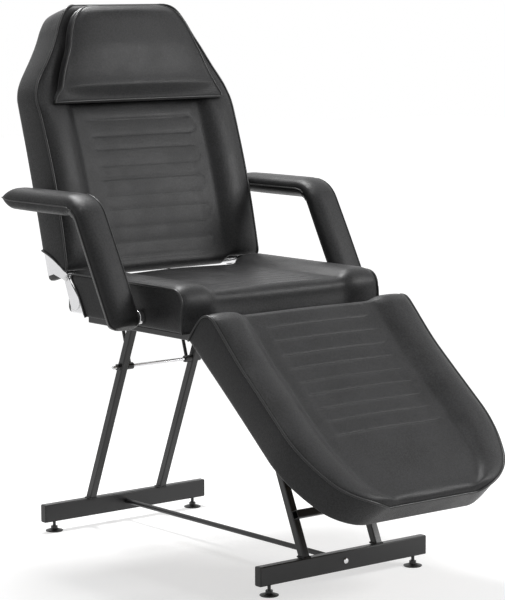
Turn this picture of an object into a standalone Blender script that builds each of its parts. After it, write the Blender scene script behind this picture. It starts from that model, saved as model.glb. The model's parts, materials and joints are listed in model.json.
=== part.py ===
"""Three-section beauty bed on a welded steel base.

The seat is fixed to the base.  The back and the leg rest swing on pins at its
two ends, and each is held by a U-shaped prop that leans on a rack under it.
Metres, +Z up, +X towards the feet.  The origin is the middle of the bounding
box on the floor.
"""

from math import acos, atan2, cos, pi, radians, sin, sqrt, tan

import bmesh
import bpy
from mathutils import Matrix, Vector

# Clearances and overruns
SEAT_GAP = 0.0003
RUNNING_GAP = 0.0005
WELD_BITE = 0.0005
CUT_OVERRUN = 0.010

# Base frame
BAR_LENGTH = 0.507
BAR_HEIGHT = 0.046
BAR_DEPTH = 0.021
BAR_BOTTOM = 0.0263
BAR_OUTER_SPAN = 0.8854
TUBE_WALL = 0.0015
TUBE_CORNER = 0.002
BAR_PLUG_FLANGE = 0.003
BAR_PLUG_DEPTH = 0.014
BAR_PLUG_WALL = 0.002

LEG_TUBE = 0.020
LEG_SPACING = 0.224
LEG_INSET = 0.0175
REAR_LEG_TOP_X = -0.2273
FRONT_LEG_TOP_X = 0.2112

FOOT_INSET = 0.031
FOOT_RADIUS = 0.0225
FOOT_RIM = 0.003
FOOT_CONE = 0.0075
FOOT_NECK_RADIUS = 0.0085
FOOT_HEX = 0.0065
FOOT_HEX_ACROSS = 0.015
FOOT_STEM_RADIUS = 0.004
FOOT_STEM_REACH = 0.026

STRETCHER_RADIUS = 0.0065
BOLT_RADIUS = 0.004
BOLT_HEAD_RADIUS = 0.007
BOLT_HEAD_HEIGHT = 0.0045
BOLT_ENGAGEMENT = 0.018

BRACE_HEIGHT = 0.161
BRACE_TUBE = 0.020
BRACE_LENGTH = 0.244

# Seat frame
RAIL_WIDTH = 0.020
RAIL_HEIGHT = 0.025
RAIL_OUTER_SPAN = 0.490
SEAT_UNDERSIDE = 0.585
BOARD_THICKNESS = 0.015

# Upholstery
CUSHION_WIDTH = 0.600
SKIRT_THICKNESS = 0.006
SIDE_DRAW = 0.003
PLAN_DRAW = 0.002
BOLSTER_RISE = 0.011
RECESS_DROP = 0.012
CHANNEL_DEPTH = 0.003
CHANNEL_HALF_WIDTH = 0.006

SEAT_REAR = -0.240
SEAT_FRONT = 0.221
SEAT_THICKNESS = 0.101
SEAT_REAR_ROLL = 0.018
SEAT_FRONT_ROLL = 0.030
SEAT_BOARD_FRONT_MARGIN = 0.009
SEAT_CHANNELS = 6
SEAT_CHANNEL_PITCH = 0.054
SEAT_FIRST_CHANNEL = 0.075
CUSHION_BOARD_MARGIN = 0.004
BOARD_CORNER = 0.006

# Flat-oval side tubes of the seat and the back
OVAL_HEIGHT = 0.060
OVAL_THICKNESS = 0.018
OVAL_PLUG_DOME = 0.014
OVAL_PLUG_DOME_SHARE = 0.55
OVAL_PLUG_DEPTH = 0.012
SEAT_TUBE_REAR = -0.247
SEAT_TUBE_LENGTH = 0.397
SEAT_TUBE_LIFT = 0.0015
BACK_TUBE_START = 0.022
BACK_TUBE_LENGTH = 0.290
BACK_TUBE_DEPTH = 0.031
EAR_THICKNESS = 0.0035
EAR_PIN_RADIUS = 0.0085
EAR_ROOT_RADIUS = 0.020

# Back section, from its hinge: along towards the head, down towards its rear
BACK_HINGE_X = -0.262
BACK_HINGE_Z = 0.670
BACK_LEAN = 16.0
BACK_START = 0.010
BACK_LENGTH = 0.676
BACK_FRONT_FACE = 0.020
BACK_REAR_FACE = 0.070
BACK_LOWER_ROLL = 0.026
BACK_UPPER_ROLL = 0.016
BACK_HEAD_WIDTH = 0.376
BACK_HEAD_CORNER = 0.058
BACK_LUMBAR = 0.0125
BACK_NECK_DIP = 0.010
BACK_NECK_LEAD = 0.045
BACK_NECK_SPAN = 0.180
BACK_CHANNELS = 8
BACK_CHANNEL_PITCH = 0.038
BACK_FIRST_CHANNEL = 0.045
BACK_CROSS_ALONG = 0.017
BACK_CROSS_DEPTH = 0.040
BACK_CROSS_RADIUS = 0.011
SEAT_CUT_RADIUS = 0.171
SEAT_CUT_SETBACK = 0.074
SEAT_CUT_DROP = 0.130
BACK_CUT_RADIUS = 0.207
BACK_CUT_BELOW = 0.1015
BACK_CUT_DEPTH = 0.160
PIN_RADIUS = 0.003
PIN_HEAD_RADIUS = 0.006
PIN_HEAD_HEIGHT = 0.0025
PIN_TAIL = 0.006

# Leg rest, from its hinge: along towards the feet, up through the cushion
LEG_HINGE_SETBACK = 0.021
LEG_REST_DROP = 40.0
LEG_REST_START = 0.0225
LEG_REST_LENGTH = 0.6055
LEG_REST_UNDERSIDE = 0.0255
LEG_REST_THICKNESS = 0.0895
LEG_REST_CORNER = 0.055
LEG_REST_TAPER = 0.230
LEG_REST_TAPER_DRAW = 0.088
LEG_REST_END_SLANT = 0.016
LEG_REST_KNEE_RISE = 0.0125
LEG_REST_KNEE_SPAN = 0.190
LEG_REST_UPPER_ROLL = 0.030
LEG_REST_LOWER_ROLL = 0.020
LEG_REST_CHANNELS = 8
LEG_REST_CHANNEL_PITCH = 0.046
LEG_REST_FIRST_CHANNEL = 0.070
LEG_BOARD_MARGIN = 0.008
LEG_ARM_WIDTH = 0.014
LEG_ARM_HEIGHT = 0.025
LEG_ARM_LENGTH = 0.420
LEG_ARM_EYE = 0.0122
LEG_SHOULDER_STEP = 0.001
LEG_PIN_RADIUS = 0.005
LEG_PIN_HEAD_RADIUS = 0.009
LEG_PIN_HEAD_HEIGHT = 0.004

# Props, their axles and racks
AXLE_RADIUS = 0.0045
AXLE_TAIL = 0.023
NUT_ACROSS = 0.015
NUT_HEIGHT = 0.007
WASHER_RADIUS = 0.009
WASHER_HEIGHT = 0.002
PROP_ROD_RADIUS = 0.0045
PROP_WIDTH = 0.180
PROP_BEND = 0.022
PROP_SLEEVE_RADIUS = 0.009
PROP_SLEEVE_LENGTH = 0.019
BACK_PROP_HEIGHT = 0.432
BACK_PROP_NOTCH = 0.100
LEG_PROP_HEIGHT = 0.330
LEG_PROP_LENGTH = 0.280
RACK_WIDTH = 0.030
RACK_LAND = 0.014
TOOTH_DEPTH = 0.006
TOOTH_PITCH = 0.020
TOOTH_ROOT = 0.006
TOOTH_TIP = 0.004
TOOTH_RAMP = 38.0
TOOTH_ROOT_SHIFT = 0.0008
BACK_RACK_TEETH = 9
BACK_RACK_HEEL = 0.016
BACK_RACK_LAND_LENGTH = 0.058
LEG_RACK_TEETH = 13
LEG_RACK_HEEL = 0.020
LEG_RACK_STOP = 0.012
LEG_RACK_STOP_DEPTH = 0.008

# Armrests
ARM_GAP = 0.0175
ARM_WIDTH = 0.085
ARM_THICKNESS = 0.041
ARM_EDGE_RADIUS = 0.018
ARM_TOP = 0.889
ARM_REAR = -0.378
ARM_ELBOW = -0.080
ARM_BEND = 0.085
ARM_LEAN = 28.8
ARM_FOOT_RISE = 0.003
ARM_OUTER_DROOP = 0.010
ARM_OUTER_TUCK = 0.012
ARM_NOSE = 0.030
ARM_TOE = 0.014
FLANGE_RADIUS = 0.017
FLANGE_SETBACK = 0.006
FLANGE_RISE = 0.025
FLANGE_RIM = 0.003

# Head pillow, along the back from its hinge
PILLOW_BELOW_SHOULDER = 0.013
PILLOW_BELOW_TOP = 0.014
PILLOW_INSET = 0.038
PILLOW_EDGE = 0.032
PILLOW_CROWN = 0.012
PILLOW_REST_GAP = 0.0002

# Across and rise of a cushion's top, as shares of the half width and of the bolster or recess
BOLSTER_SHARES = ((0.975, 0.50), (0.92, 0.92), (0.86, 1.0), (0.78, 0.62), (0.70, -0.25), (0.62, -0.88),
                  (0.30, -1.0))
RECESS_EDGE_SHARE = 0.66
SIDE_MIDDLE_SHARE = 0.5
SEAT_REAR_RISE_SHARES = (0.15, 0.4, 0.7, 1.0)
SEAT_FRONT_RISE_SHARES = (0.05, 0.25, 0.6, 0.9)
BACK_RISE_SHARES = (0.1, 0.35, 0.65, 0.95)
LEG_RISE_SHARES = (0.05, 0.3, 0.65, 0.95)
SOLID_END_RISE_SHARE = 0.3

# Tapers and rounded ends, as shares of their length or of the section there
BACK_SHOULDER_SHARE = 0.644
BACK_TAPER_SHARE = 0.303
TAPER_SHARES = (0.0, 0.16, 0.36, 0.58, 0.8, 0.93, 1.06)
TAPER_EASE_SHARE = 0.03
PILLOW_SEAT_SHARE = 0.8
PILLOW_PROFILE_SHARES = ((0.0, 0.18), (0.04, 0.45), (0.10, 0.80), (0.15, 0.96), (0.25, 1.0), (0.45, 1.0),
                         (0.65, 1.0), (0.82, 0.97), (0.92, 0.86), (0.97, 0.64), (1.0, 0.34))
PILLOW_EDGE_SHARES = ((1.0, 0.10), (1.0, 0.55), (0.985, 0.85), (0.94, 1.0))
PILLOW_CROWN_SHARES = ((0.75, 0.45), (0.5, 0.8), (0.2, 1.0))
PILLOW_FOOT_SHARE = 0.97
LEG_TAPER_SHARES = (0.0, 0.22, 0.42, 0.6)
END_FADE_SHARE = 0.35
END_FADE_POWER = 0.5
NOSE_FLOOR_SHARE = 0.45
TOE_FLOOR_SHARE = 0.8
NOSE_POWER = 0.6
OVAL_END_SHARE = 0.495
FOOT_WAIST_SHARE = 0.8
BOLT_RIM_SHARE = 0.35
BOLT_CROWN_SHARES = (0.75, 0.8)
HALF_SHARE = 0.5

# Angles in degrees, and counts of steps
ROLL_ANGLES = (0.0, 28.0, 58.0, 90.0)
LEG_CORNER_ANGLES = (0.0, 25.0, 45.0, 62.0, 76.0, 88.0)
EYE_ANGLES = (60.0, 90.0, 120.0, 150.0, 180.0, 210.0, 240.0, 270.0)
NOSE_ANGLES = (4.0, 25.0, 55.0, 90.0)
SHARP_ANGLE = 35.0
CORNER_STEPS = 3
ROUND_STEPS = 20
SMALL_ROUND_STEPS = 12
LINK_STEPS = 8
HINGE_CUT_STEPS = 64
ARM_BEND_STEPS = 6
ARM_EDGE_STEPS = 3
BOARD_CORNER_STEPS = 2
MERGE_DISTANCE = 0.000001

# Derived places
BAR_TOP = BAR_BOTTOM + BAR_HEIGHT
BAR_MIDDLE_Z = BAR_BOTTOM + BAR_HEIGHT / 2
BAR_OUTER_X = BAR_OUTER_SPAN / 2
BAR_INNER_X = BAR_OUTER_X - BAR_DEPTH
BAR_CENTRE_X = BAR_OUTER_X - BAR_DEPTH / 2
LEG_FOOT_X = BAR_OUTER_X - LEG_INSET
LEG_Y = LEG_SPACING / 2
HALF_WIDTH = CUSHION_WIDTH / 2
SKIRT_INNER = HALF_WIDTH - SKIRT_THICKNESS
RAIL_OUTER_Y = RAIL_OUTER_SPAN / 2
RAIL_TOP = SEAT_UNDERSIDE - SEAT_GAP
RAIL_BOTTOM = RAIL_TOP - RAIL_HEIGHT
RAIL_MIDDLE = RAIL_BOTTOM + RAIL_HEIGHT / 2
BOARD_BOTTOM = SEAT_UNDERSIDE
REAR_LEG_LEAN = atan2(REAR_LEG_TOP_X + LEG_FOOT_X, RAIL_BOTTOM - BAR_TOP)
FRONT_LEG_LEAN = atan2(LEG_FOOT_X - FRONT_LEG_TOP_X, RAIL_BOTTOM - BAR_TOP)
BOARD_TOP = BOARD_BOTTOM + BOARD_THICKNESS
SEAT_EDGE = SEAT_UNDERSIDE + SEAT_THICKNESS
EAR_OUTER = SKIRT_INNER - RUNNING_GAP
SEAT_TUBE_OUTER = EAR_OUTER - EAR_THICKNESS + WELD_BITE
SEAT_TUBE_INNER = SEAT_TUBE_OUTER - OVAL_THICKNESS
BACK_EAR_OUTER = EAR_OUTER - EAR_THICKNESS - RUNNING_GAP
BACK_TUBE_OUTER = BACK_EAR_OUTER - EAR_THICKNESS + WELD_BITE
BACK_TUBE_INNER = BACK_TUBE_OUTER - OVAL_THICKNESS
SEAT_TUBE_BOTTOM = SEAT_UNDERSIDE + SEAT_TUBE_LIFT
LEG_HINGE_X = SEAT_FRONT - LEG_HINGE_SETBACK
LEG_HINGE_Z = RAIL_MIDDLE
SEAT_CUT_X = BACK_HINGE_X - SEAT_CUT_SETBACK
SEAT_CUT_Z = BACK_HINGE_Z - SEAT_CUT_DROP
ARM_Y = HALF_WIDTH + ARM_GAP + ARM_WIDTH / 2
BACK_HINGE = Vector((BACK_HINGE_X, 0, BACK_HINGE_Z))
LEG_HINGE = Vector((LEG_HINGE_X, 0, LEG_HINGE_Z))
BACK_TURN = radians(90.0 - BACK_LEAN)
LEG_TURN = radians(LEG_REST_DROP)
TOOTH_RAMP_LENGTH = TOOTH_DEPTH / tan(radians(TOOTH_RAMP))
BACK_BOARD_FRONT = BACK_REAR_FACE - BOARD_THICKNESS
BACK_SHOULDER = BACK_START + BACK_LENGTH * BACK_SHOULDER_SHARE
BACK_TAPER = BACK_LENGTH * BACK_TAPER_SHARE
PILLOW_START = BACK_SHOULDER - PILLOW_BELOW_SHOULDER
PILLOW_END = BACK_START + BACK_LENGTH - PILLOW_BELOW_TOP
FLANGE_HEIGHT = SEAT_UNDERSIDE + FLANGE_RISE
ARM_FOOT = SEAT_UNDERSIDE + ARM_FOOT_RISE


def rear_leg_x(height):
    """X of a rear leg's centre line at a height."""
    return -LEG_FOOT_X + (height - BAR_TOP) * tan(REAR_LEG_LEAN)


def front_leg_x(height):
    """X of a front leg's centre line at a height."""
    return LEG_FOOT_X - (height - BAR_TOP) * tan(FRONT_LEG_LEAN)


BACK_AXLE = Vector((rear_leg_x(BACK_PROP_HEIGHT), 0, BACK_PROP_HEIGHT))
LEG_AXLE = Vector((front_leg_x(LEG_PROP_HEIGHT), 0, LEG_PROP_HEIGHT))


def turned_about_y(point, angle):
    """A point turned about the Y axis."""
    return Matrix.Rotation(angle, 3, 'Y') @ Vector(point)


# Where the back prop's bar lies in its notch, and the prop's length and slant from that
BACK_RACK_ROOT = BACK_REAR_FACE + SEAT_GAP + RACK_LAND
BACK_BAR_DEPTH = BACK_RACK_ROOT + SEAT_GAP + PROP_ROD_RADIUS
BACK_BAR = BACK_HINGE + turned_about_y((-BACK_PROP_NOTCH, 0, -BACK_BAR_DEPTH), BACK_TURN)
BACK_PROP_LENGTH = (BACK_BAR - BACK_AXLE).length
BACK_PROP_TURN = atan2(BACK_BAR.x - BACK_AXLE.x, BACK_BAR.z - BACK_AXLE.z)

# Where the leg prop's bar lies under the tips of its rack
LEG_RACK_TIP = LEG_REST_UNDERSIDE - SEAT_GAP - RACK_LAND - TOOTH_DEPTH
LEG_BAR_UP = LEG_RACK_TIP - SEAT_GAP - PROP_ROD_RADIUS
LEG_AXLE_LOCAL = turned_about_y(LEG_AXLE - LEG_HINGE, -LEG_TURN)
LEG_BAR_RISE = LEG_BAR_UP - LEG_AXLE_LOCAL.z
LEG_BAR_RUN = sqrt(LEG_PROP_LENGTH ** 2 - LEG_BAR_RISE ** 2)
LEG_BAR_ALONG = LEG_AXLE_LOCAL.x + LEG_BAR_RUN
LEG_PROP_TURN = LEG_TURN + atan2(LEG_BAR_RUN, LEG_BAR_RISE)


def material(name, colour, roughness, metallic=0.0):
    """A Principled material of one colour."""
    finish = bpy.data.materials.new(name)
    finish.use_nodes = True
    shader = finish.node_tree.nodes["Principled BSDF"]
    shader.inputs["Base Color"].default_value = (*colour, 1.0)
    shader.inputs["Roughness"].default_value = roughness
    shader.inputs["Metallic"].default_value = metallic
    finish.diffuse_color = (*colour, 1.0)
    return finish


def empty(name, location=(0, 0, 0), turn_y=0.0, parent=None):
    """An empty that stands on a joint's axis and carries what swings on it."""
    holder = bpy.data.objects.new(name, None)
    bpy.context.collection.objects.link(holder)
    holder.location = location
    holder.rotation_euler = (0, turn_y, 0)
    holder.parent = parent
    return holder


def add_object(name, bm, finish, parent, location=(0, 0, 0), rotation=(0, 0, 0)):
    """Close a bmesh into a named object under its carrier."""
    bmesh.ops.recalc_face_normals(bm, faces=bm.faces)
    mesh = bpy.data.meshes.new(name)
    bm.to_mesh(mesh)
    bm.free()
    mesh.shade_smooth()
    mesh.set_sharp_from_angle(angle=radians(SHARP_ANGLE))
    mesh.materials.append(finish)
    piece = bpy.data.objects.new(name, mesh)
    bpy.context.collection.objects.link(piece)
    piece.location = location
    piece.rotation_euler = rotation
    piece.parent = parent
    return piece


def tool(name, bm, parent, location=(0, 0, 0), rotation=(0, 0, 0)):
    """A hidden shape that a Boolean cuts with or joins on."""
    shape = add_object(name, bm, FINISH["steel"], parent, location, rotation)
    shape.hide_render = True
    shape.display_type = 'WIRE'
    return shape


def boolean(piece, shape, operation='DIFFERENCE'):
    """Cut a shape from a piece, or join it on."""
    step = piece.modifiers.new(shape.name, 'BOOLEAN')
    step.operation = operation
    step.solver = 'EXACT'
    step.object = shape


def loft(rings, ends_closed=True):
    """Skin a row of rings of equal count; open ends meet each other instead."""
    bm = bmesh.new()
    loops = [[bm.verts.new(point) for point in ring] for ring in rings]
    pairs = list(zip(loops, loops[1:]))
    if not ends_closed:
        pairs.append((loops[-1], loops[0]))
    for near, far in pairs:
        for index in range(len(near)):
            after = (index + 1) % len(near)
            bm.faces.new((near[index], near[after], far[after], far[index]))
    if ends_closed:
        bm.faces.new(loops[0][::-1])
        bm.faces.new(loops[-1])
    bmesh.ops.remove_doubles(bm, verts=bm.verts, dist=MERGE_DISTANCE)
    bmesh.ops.triangulate(bm, faces=[face for face in bm.faces if len(face.verts) > 4])
    return bm


def turned(profile, steps=ROUND_STEPS, closed=False):
    """Spin a profile of (radius, height) about Z."""
    bm = bmesh.new()
    verts = [bm.verts.new((radius, 0, height)) for radius, height in profile]
    pairs = list(zip(verts, verts[1:]))
    if closed:
        pairs.append((verts[-1], verts[0]))
    edges = [bm.edges.new(pair) for pair in pairs]
    bmesh.ops.spin(bm, geom=verts + edges, cent=(0, 0, 0), axis=(0, 0, 1), angle=2 * pi, steps=steps,
                   use_merge=True)
    bmesh.ops.remove_doubles(bm, verts=bm.verts, dist=MERGE_DISTANCE)
    return bm


def rod(radius, start, end, steps=ROUND_STEPS):
    """A plain round bar between two heights on Z."""
    return turned([(0, start), (radius, start), (radius, end), (0, end)], steps)


def hexagon(across):
    """Corners of a hexagon across its flats."""
    corner = across / 2 / cos(pi / 6)
    return [(corner * cos(pi / 3 * turn), corner * sin(pi / 3 * turn)) for turn in range(6)]


def rounded_rectangle(width, height, radius, steps=1):
    """Outline of a rectangle with round corners, anticlockwise about its middle."""
    points = []
    for quarter, (side, rise) in enumerate(((1, 1), (-1, 1), (-1, -1), (1, -1))):
        for step in range(steps + 1):
            angle = pi / 2 * (quarter + step / steps)
            points.append((side * (width / 2 - radius) + radius * cos(angle),
                           rise * (height / 2 - radius) + radius * sin(angle)))
    return points


def plate(outline, start, end):
    """An outline in X and Z, as thick as from one Y to another."""
    return loft([[(x, y, z) for x, z in outline] for y in (start, end)])


def link_outline(root, root_radius, tip, tip_radius, steps=LINK_STEPS):
    """Outline in X and Z of a plate that tapers from one round end to another."""
    run = Vector(tip) - Vector(root)
    heading = atan2(run.y, run.x)
    spread = acos((root_radius - tip_radius) / run.length)
    points = []
    for centre, radius, first, sweep in ((tip, tip_radius, -spread, 2 * spread),
                                         (root, root_radius, spread, 2 * pi - 2 * spread)):
        for step in range(steps + 1):
            angle = heading + first + sweep * step / steps
            points.append((centre[0] + radius * cos(angle), centre[1] + radius * sin(angle)))
    return points


def straight_tube(outer, inner, place, start, end):
    """A hollow bar: outer and inner outlines placed at its two ends."""
    rings = [[place(a, b, start) for a, b in outer], [place(a, b, end) for a, b in outer],
             [place(a, b, end) for a, b in inner], [place(a, b, start) for a, b in inner]]
    return loft(rings, ends_closed=False)


def tube_outlines(width, height, corner=TUBE_CORNER, wall=TUBE_WALL, steps=1):
    """Outer and inner outlines of a tube's section."""
    outer = rounded_rectangle(width, height, corner, steps)
    inner_corner = max(corner - wall, corner / 4)
    inner = rounded_rectangle(width - 2 * wall, height - 2 * wall, inner_corner, steps)
    return outer, inner


def sides():
    """The two sides of the bed: name and sign of Y."""
    return (("left", -1), ("right", 1))


def along_y(direction=1):
    """Turn that lays a piece's Z along Y."""
    return (-direction * pi / 2, 0, 0)


def along_x(direction=1):
    """Turn that lays a piece's Z along X."""
    return (0, direction * pi / 2, 0)


def crossbar(name, end, root):
    """One of the two floor bars, with holes for its feet and for the stretcher's bolt."""
    outer, inner = tube_outlines(BAR_DEPTH, BAR_HEIGHT)
    bm = straight_tube(outer, inner, lambda a, b, y: (a, y, b), -BAR_LENGTH / 2, BAR_LENGTH / 2)
    bar = add_object(name, bm, FINISH["black_steel"], root, (end * BAR_CENTRE_X, 0, BAR_MIDDLE_Z))
    for side, sign in sides():
        hole = rod(FOOT_STEM_RADIUS + SEAT_GAP, -CUT_OVERRUN, CUT_OVERRUN, SMALL_ROUND_STEPS)
        foot_y = sign * (BAR_LENGTH / 2 - FOOT_INSET)
        boolean(bar, tool(f"cut_{name}_{side}", hole, root, (end * BAR_CENTRE_X, foot_y, BAR_BOTTOM)))
    hole = rod(BOLT_RADIUS + SEAT_GAP, -BAR_DEPTH, BAR_DEPTH, SMALL_ROUND_STEPS)
    boolean(bar, tool(f"cut_{name}_bolt", hole, root, (end * BAR_CENTRE_X, 0, BAR_MIDDLE_Z), along_x()))


def crossbar_plug(name, end, sign, root):
    """Pressed-in cap of a floor bar's open end: a flange and a hollow spigot."""
    fit = 2 * (TUBE_WALL + SEAT_GAP)
    flange = rounded_rectangle(BAR_DEPTH, BAR_HEIGHT, TUBE_CORNER)
    spigot = rounded_rectangle(BAR_DEPTH - fit, BAR_HEIGHT - fit, TUBE_CORNER / 2)
    hollow = rounded_rectangle(BAR_DEPTH - fit - 2 * BAR_PLUG_WALL, BAR_HEIGHT - fit - 2 * BAR_PLUG_WALL,
                               TUBE_CORNER / 2)
    crown = rounded_rectangle(BAR_DEPTH - BAR_PLUG_FLANGE, BAR_HEIGHT - BAR_PLUG_FLANGE, TUBE_CORNER)
    layers = ((hollow, 0.0), (hollow, -BAR_PLUG_DEPTH), (spigot, -BAR_PLUG_DEPTH), (spigot, 0.0),
              (flange, 0.0), (flange, BAR_PLUG_FLANGE / 2), (crown, BAR_PLUG_FLANGE))
    bm = loft([[(a, sign * out, b) for a, b in outline] for outline, out in layers])
    place = (end * BAR_CENTRE_X, sign * (BAR_LENGTH / 2 + SEAT_GAP), BAR_MIDDLE_Z)
    add_object(name, bm, FINISH["black_plastic"], root, place)


def levelling_foot(name, end, sign, root):
    """Screw foot: a wide pad, a cone, a hexagon to turn it by and a threaded stem."""
    waist_z = FOOT_CONE + FOOT_HEX / 2
    top = FOOT_CONE + FOOT_HEX + FOOT_STEM_REACH
    pad = [(0, 0), (FOOT_RADIUS - FOOT_RIM / 2, 0), (FOOT_RADIUS, FOOT_RIM / 2), (FOOT_RADIUS, FOOT_RIM)]
    bm = turned(pad + [(FOOT_NECK_RADIUS, FOOT_CONE), (FOOT_NECK_RADIUS * FOOT_WAIST_SHARE, waist_z),
                 (FOOT_STEM_RADIUS, waist_z), (FOOT_STEM_RADIUS, top), (0, top)])
    place = (end * BAR_CENTRE_X, sign * (BAR_LENGTH / 2 - FOOT_INSET), 0)
    foot = add_object(name, bm, FINISH["black_plastic"], root, place)
    outline = hexagon(FOOT_HEX_ACROSS)
    nut = loft([[(a, b, z) for a, b in outline] for z in (FOOT_CONE, FOOT_CONE + FOOT_HEX)])
    boolean(foot, tool(f"join_{name}", nut, root, place), 'UNION')


def base_leg(name, lean_sign, sign, root):
    """Slanted square leg, cut level at both ends, drilled for the prop's axle."""
    rear = lean_sign < 0
    lean = REAR_LEG_LEAN if rear else -FRONT_LEG_LEAN
    foot_x = lean_sign * LEG_FOOT_X
    outer, inner = tube_outlines(LEG_TUBE, LEG_TUBE)

    def place(a, b, z):
        slide = (z - BAR_TOP + a * sin(lean)) / cos(lean)
        return (foot_x + a * cos(lean) + slide * sin(lean), sign * LEG_Y + b, z)

    bm = straight_tube(outer, inner, place, BAR_TOP + SEAT_GAP, RAIL_BOTTOM - SEAT_GAP)
    leg = add_object(name, bm, FINISH["black_steel"], root)
    axle = BACK_AXLE if rear else LEG_AXLE
    hole = rod(AXLE_RADIUS + SEAT_GAP, -LEG_TUBE, LEG_TUBE, SMALL_ROUND_STEPS)
    boolean(leg, tool(f"cut_{name}", hole, root, (axle.x, sign * LEG_Y, axle.z), along_y()))


def stretcher(root):
    """Round tube between the two floor bars."""
    reach = BAR_INNER_X - SEAT_GAP
    wall = TUBE_WALL
    profile = [(STRETCHER_RADIUS, -reach), (STRETCHER_RADIUS, reach), (STRETCHER_RADIUS - wall, reach),
               (STRETCHER_RADIUS - wall, -reach)]
    bm = turned(profile, SMALL_ROUND_STEPS, closed=True)
    add_object("stretcher_tube", bm, FINISH["black_steel"], root, (0, 0, BAR_MIDDLE_Z), along_x())


def domed_bolt(head_radius, head_height, shank_radius, shank_length, steps=SMALL_ROUND_STEPS):
    """Bolt with a domed head on +Z and its shank below Z = 0."""
    crown = (head_radius * BOLT_CROWN_SHARES[0], head_height * BOLT_CROWN_SHARES[1])
    return turned([(0, -shank_length), (shank_radius, -shank_length), (shank_radius, 0), (head_radius, 0),
                   (head_radius, head_height * BOLT_RIM_SHARE), crown, (0, head_height)], steps)


def stretcher_bolt(name, end, root):
    """Bolt through a floor bar into the stretcher's end."""
    length = BAR_DEPTH + SEAT_GAP + BOLT_ENGAGEMENT
    bm = domed_bolt(BOLT_HEAD_RADIUS, BOLT_HEAD_HEIGHT, BOLT_RADIUS, length)
    place = (end * (BAR_OUTER_X + SEAT_GAP), 0, BAR_MIDDLE_Z)
    add_object(name, bm, FINISH["chrome"], root, place, along_x(end))


def front_brace(root):
    """Square tube across the front faces of the front legs, turned with them."""
    lean = FRONT_LEG_LEAN
    outer, inner = tube_outlines(BRACE_TUBE, BRACE_TUBE)
    bm = straight_tube(outer, inner, lambda a, b, y: (a, y, b), -BRACE_LENGTH / 2, BRACE_LENGTH / 2)
    clear = LEG_TUBE / 2 + SEAT_GAP + BRACE_TUBE / 2
    place = (front_leg_x(BRACE_HEIGHT) + clear * cos(lean), 0, BRACE_HEIGHT + clear * sin(lean))
    add_object("front_brace_bar", bm, FINISH["black_steel"], root, place, (0, -lean, 0))


def seat_rail(name, sign, rear_x, front_x, root):
    """Rail under the seat board, drilled at its front for the leg rest's pin."""
    outer, inner = tube_outlines(RAIL_WIDTH, RAIL_HEIGHT)
    rail_y = sign * (RAIL_OUTER_Y - RAIL_WIDTH / 2)
    bm = straight_tube(outer, inner, lambda a, b, x: (x, a, b), rear_x, front_x)
    rail = add_object(name, bm, FINISH["black_steel"], root, (0, rail_y, RAIL_MIDDLE))
    hole = rod(LEG_PIN_RADIUS + SEAT_GAP, 0, RAIL_WIDTH, SMALL_ROUND_STEPS)
    boolean(rail, tool(f"cut_{name}", hole, root, (LEG_HINGE_X, rail_y, LEG_HINGE_Z), along_y(sign)))


def seat_cross_tube(name, centre_x, root):
    """Tube between the rails, on top of a pair of legs."""
    outer, inner = tube_outlines(LEG_TUBE, RAIL_HEIGHT)
    reach = RAIL_OUTER_Y - RAIL_WIDTH - SEAT_GAP
    bm = straight_tube(outer, inner, lambda a, b, y: (a, y, b), -reach, reach)
    add_object(name, bm, FINISH["black_steel"], root, (centre_x, 0, RAIL_MIDDLE))


def axle(name, centre, root):
    """Plated rod through a pair of legs."""
    reach = LEG_Y + LEG_TUBE / 2 + AXLE_TAIL
    chamfer = AXLE_RADIUS / 4
    profile = [(0, -reach), (AXLE_RADIUS - chamfer, -reach), (AXLE_RADIUS, chamfer - reach),
               (AXLE_RADIUS, reach - chamfer), (AXLE_RADIUS - chamfer, reach), (0, reach)]
    bm = turned(profile, SMALL_ROUND_STEPS)
    add_object(name, bm, FINISH["chrome"], root, centre, along_y())


def axle_nut(name, centre, sign, root):
    """Hexagon nut on its washer, outside a leg."""
    bore = AXLE_RADIUS + SEAT_GAP
    bm = turned([(bore, 0), (WASHER_RADIUS, 0), (WASHER_RADIUS, WASHER_HEIGHT), (bore, WASHER_HEIGHT)],
                SMALL_ROUND_STEPS, closed=True)
    place = (centre.x, sign * (LEG_Y + LEG_TUBE / 2 + SEAT_GAP), centre.z)
    washer = add_object(name, bm, FINISH["black_steel"], root, place, along_y(sign))
    outline = hexagon(NUT_ACROSS)
    steps = SMALL_ROUND_STEPS
    low, high = WASHER_HEIGHT / 2, WASHER_HEIGHT + NUT_HEIGHT
    body = loft([[(a, b, z) for a, b in outline] for z in (low, high)])
    boolean(washer, tool(f"join_{name}", body, root, place, along_y(sign)), 'UNION')
    hole = rod(bore, -CUT_OVERRUN, high + CUT_OVERRUN, steps)
    boolean(washer, tool(f"cut_{name}", hole, root, place, along_y(sign)))


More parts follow.
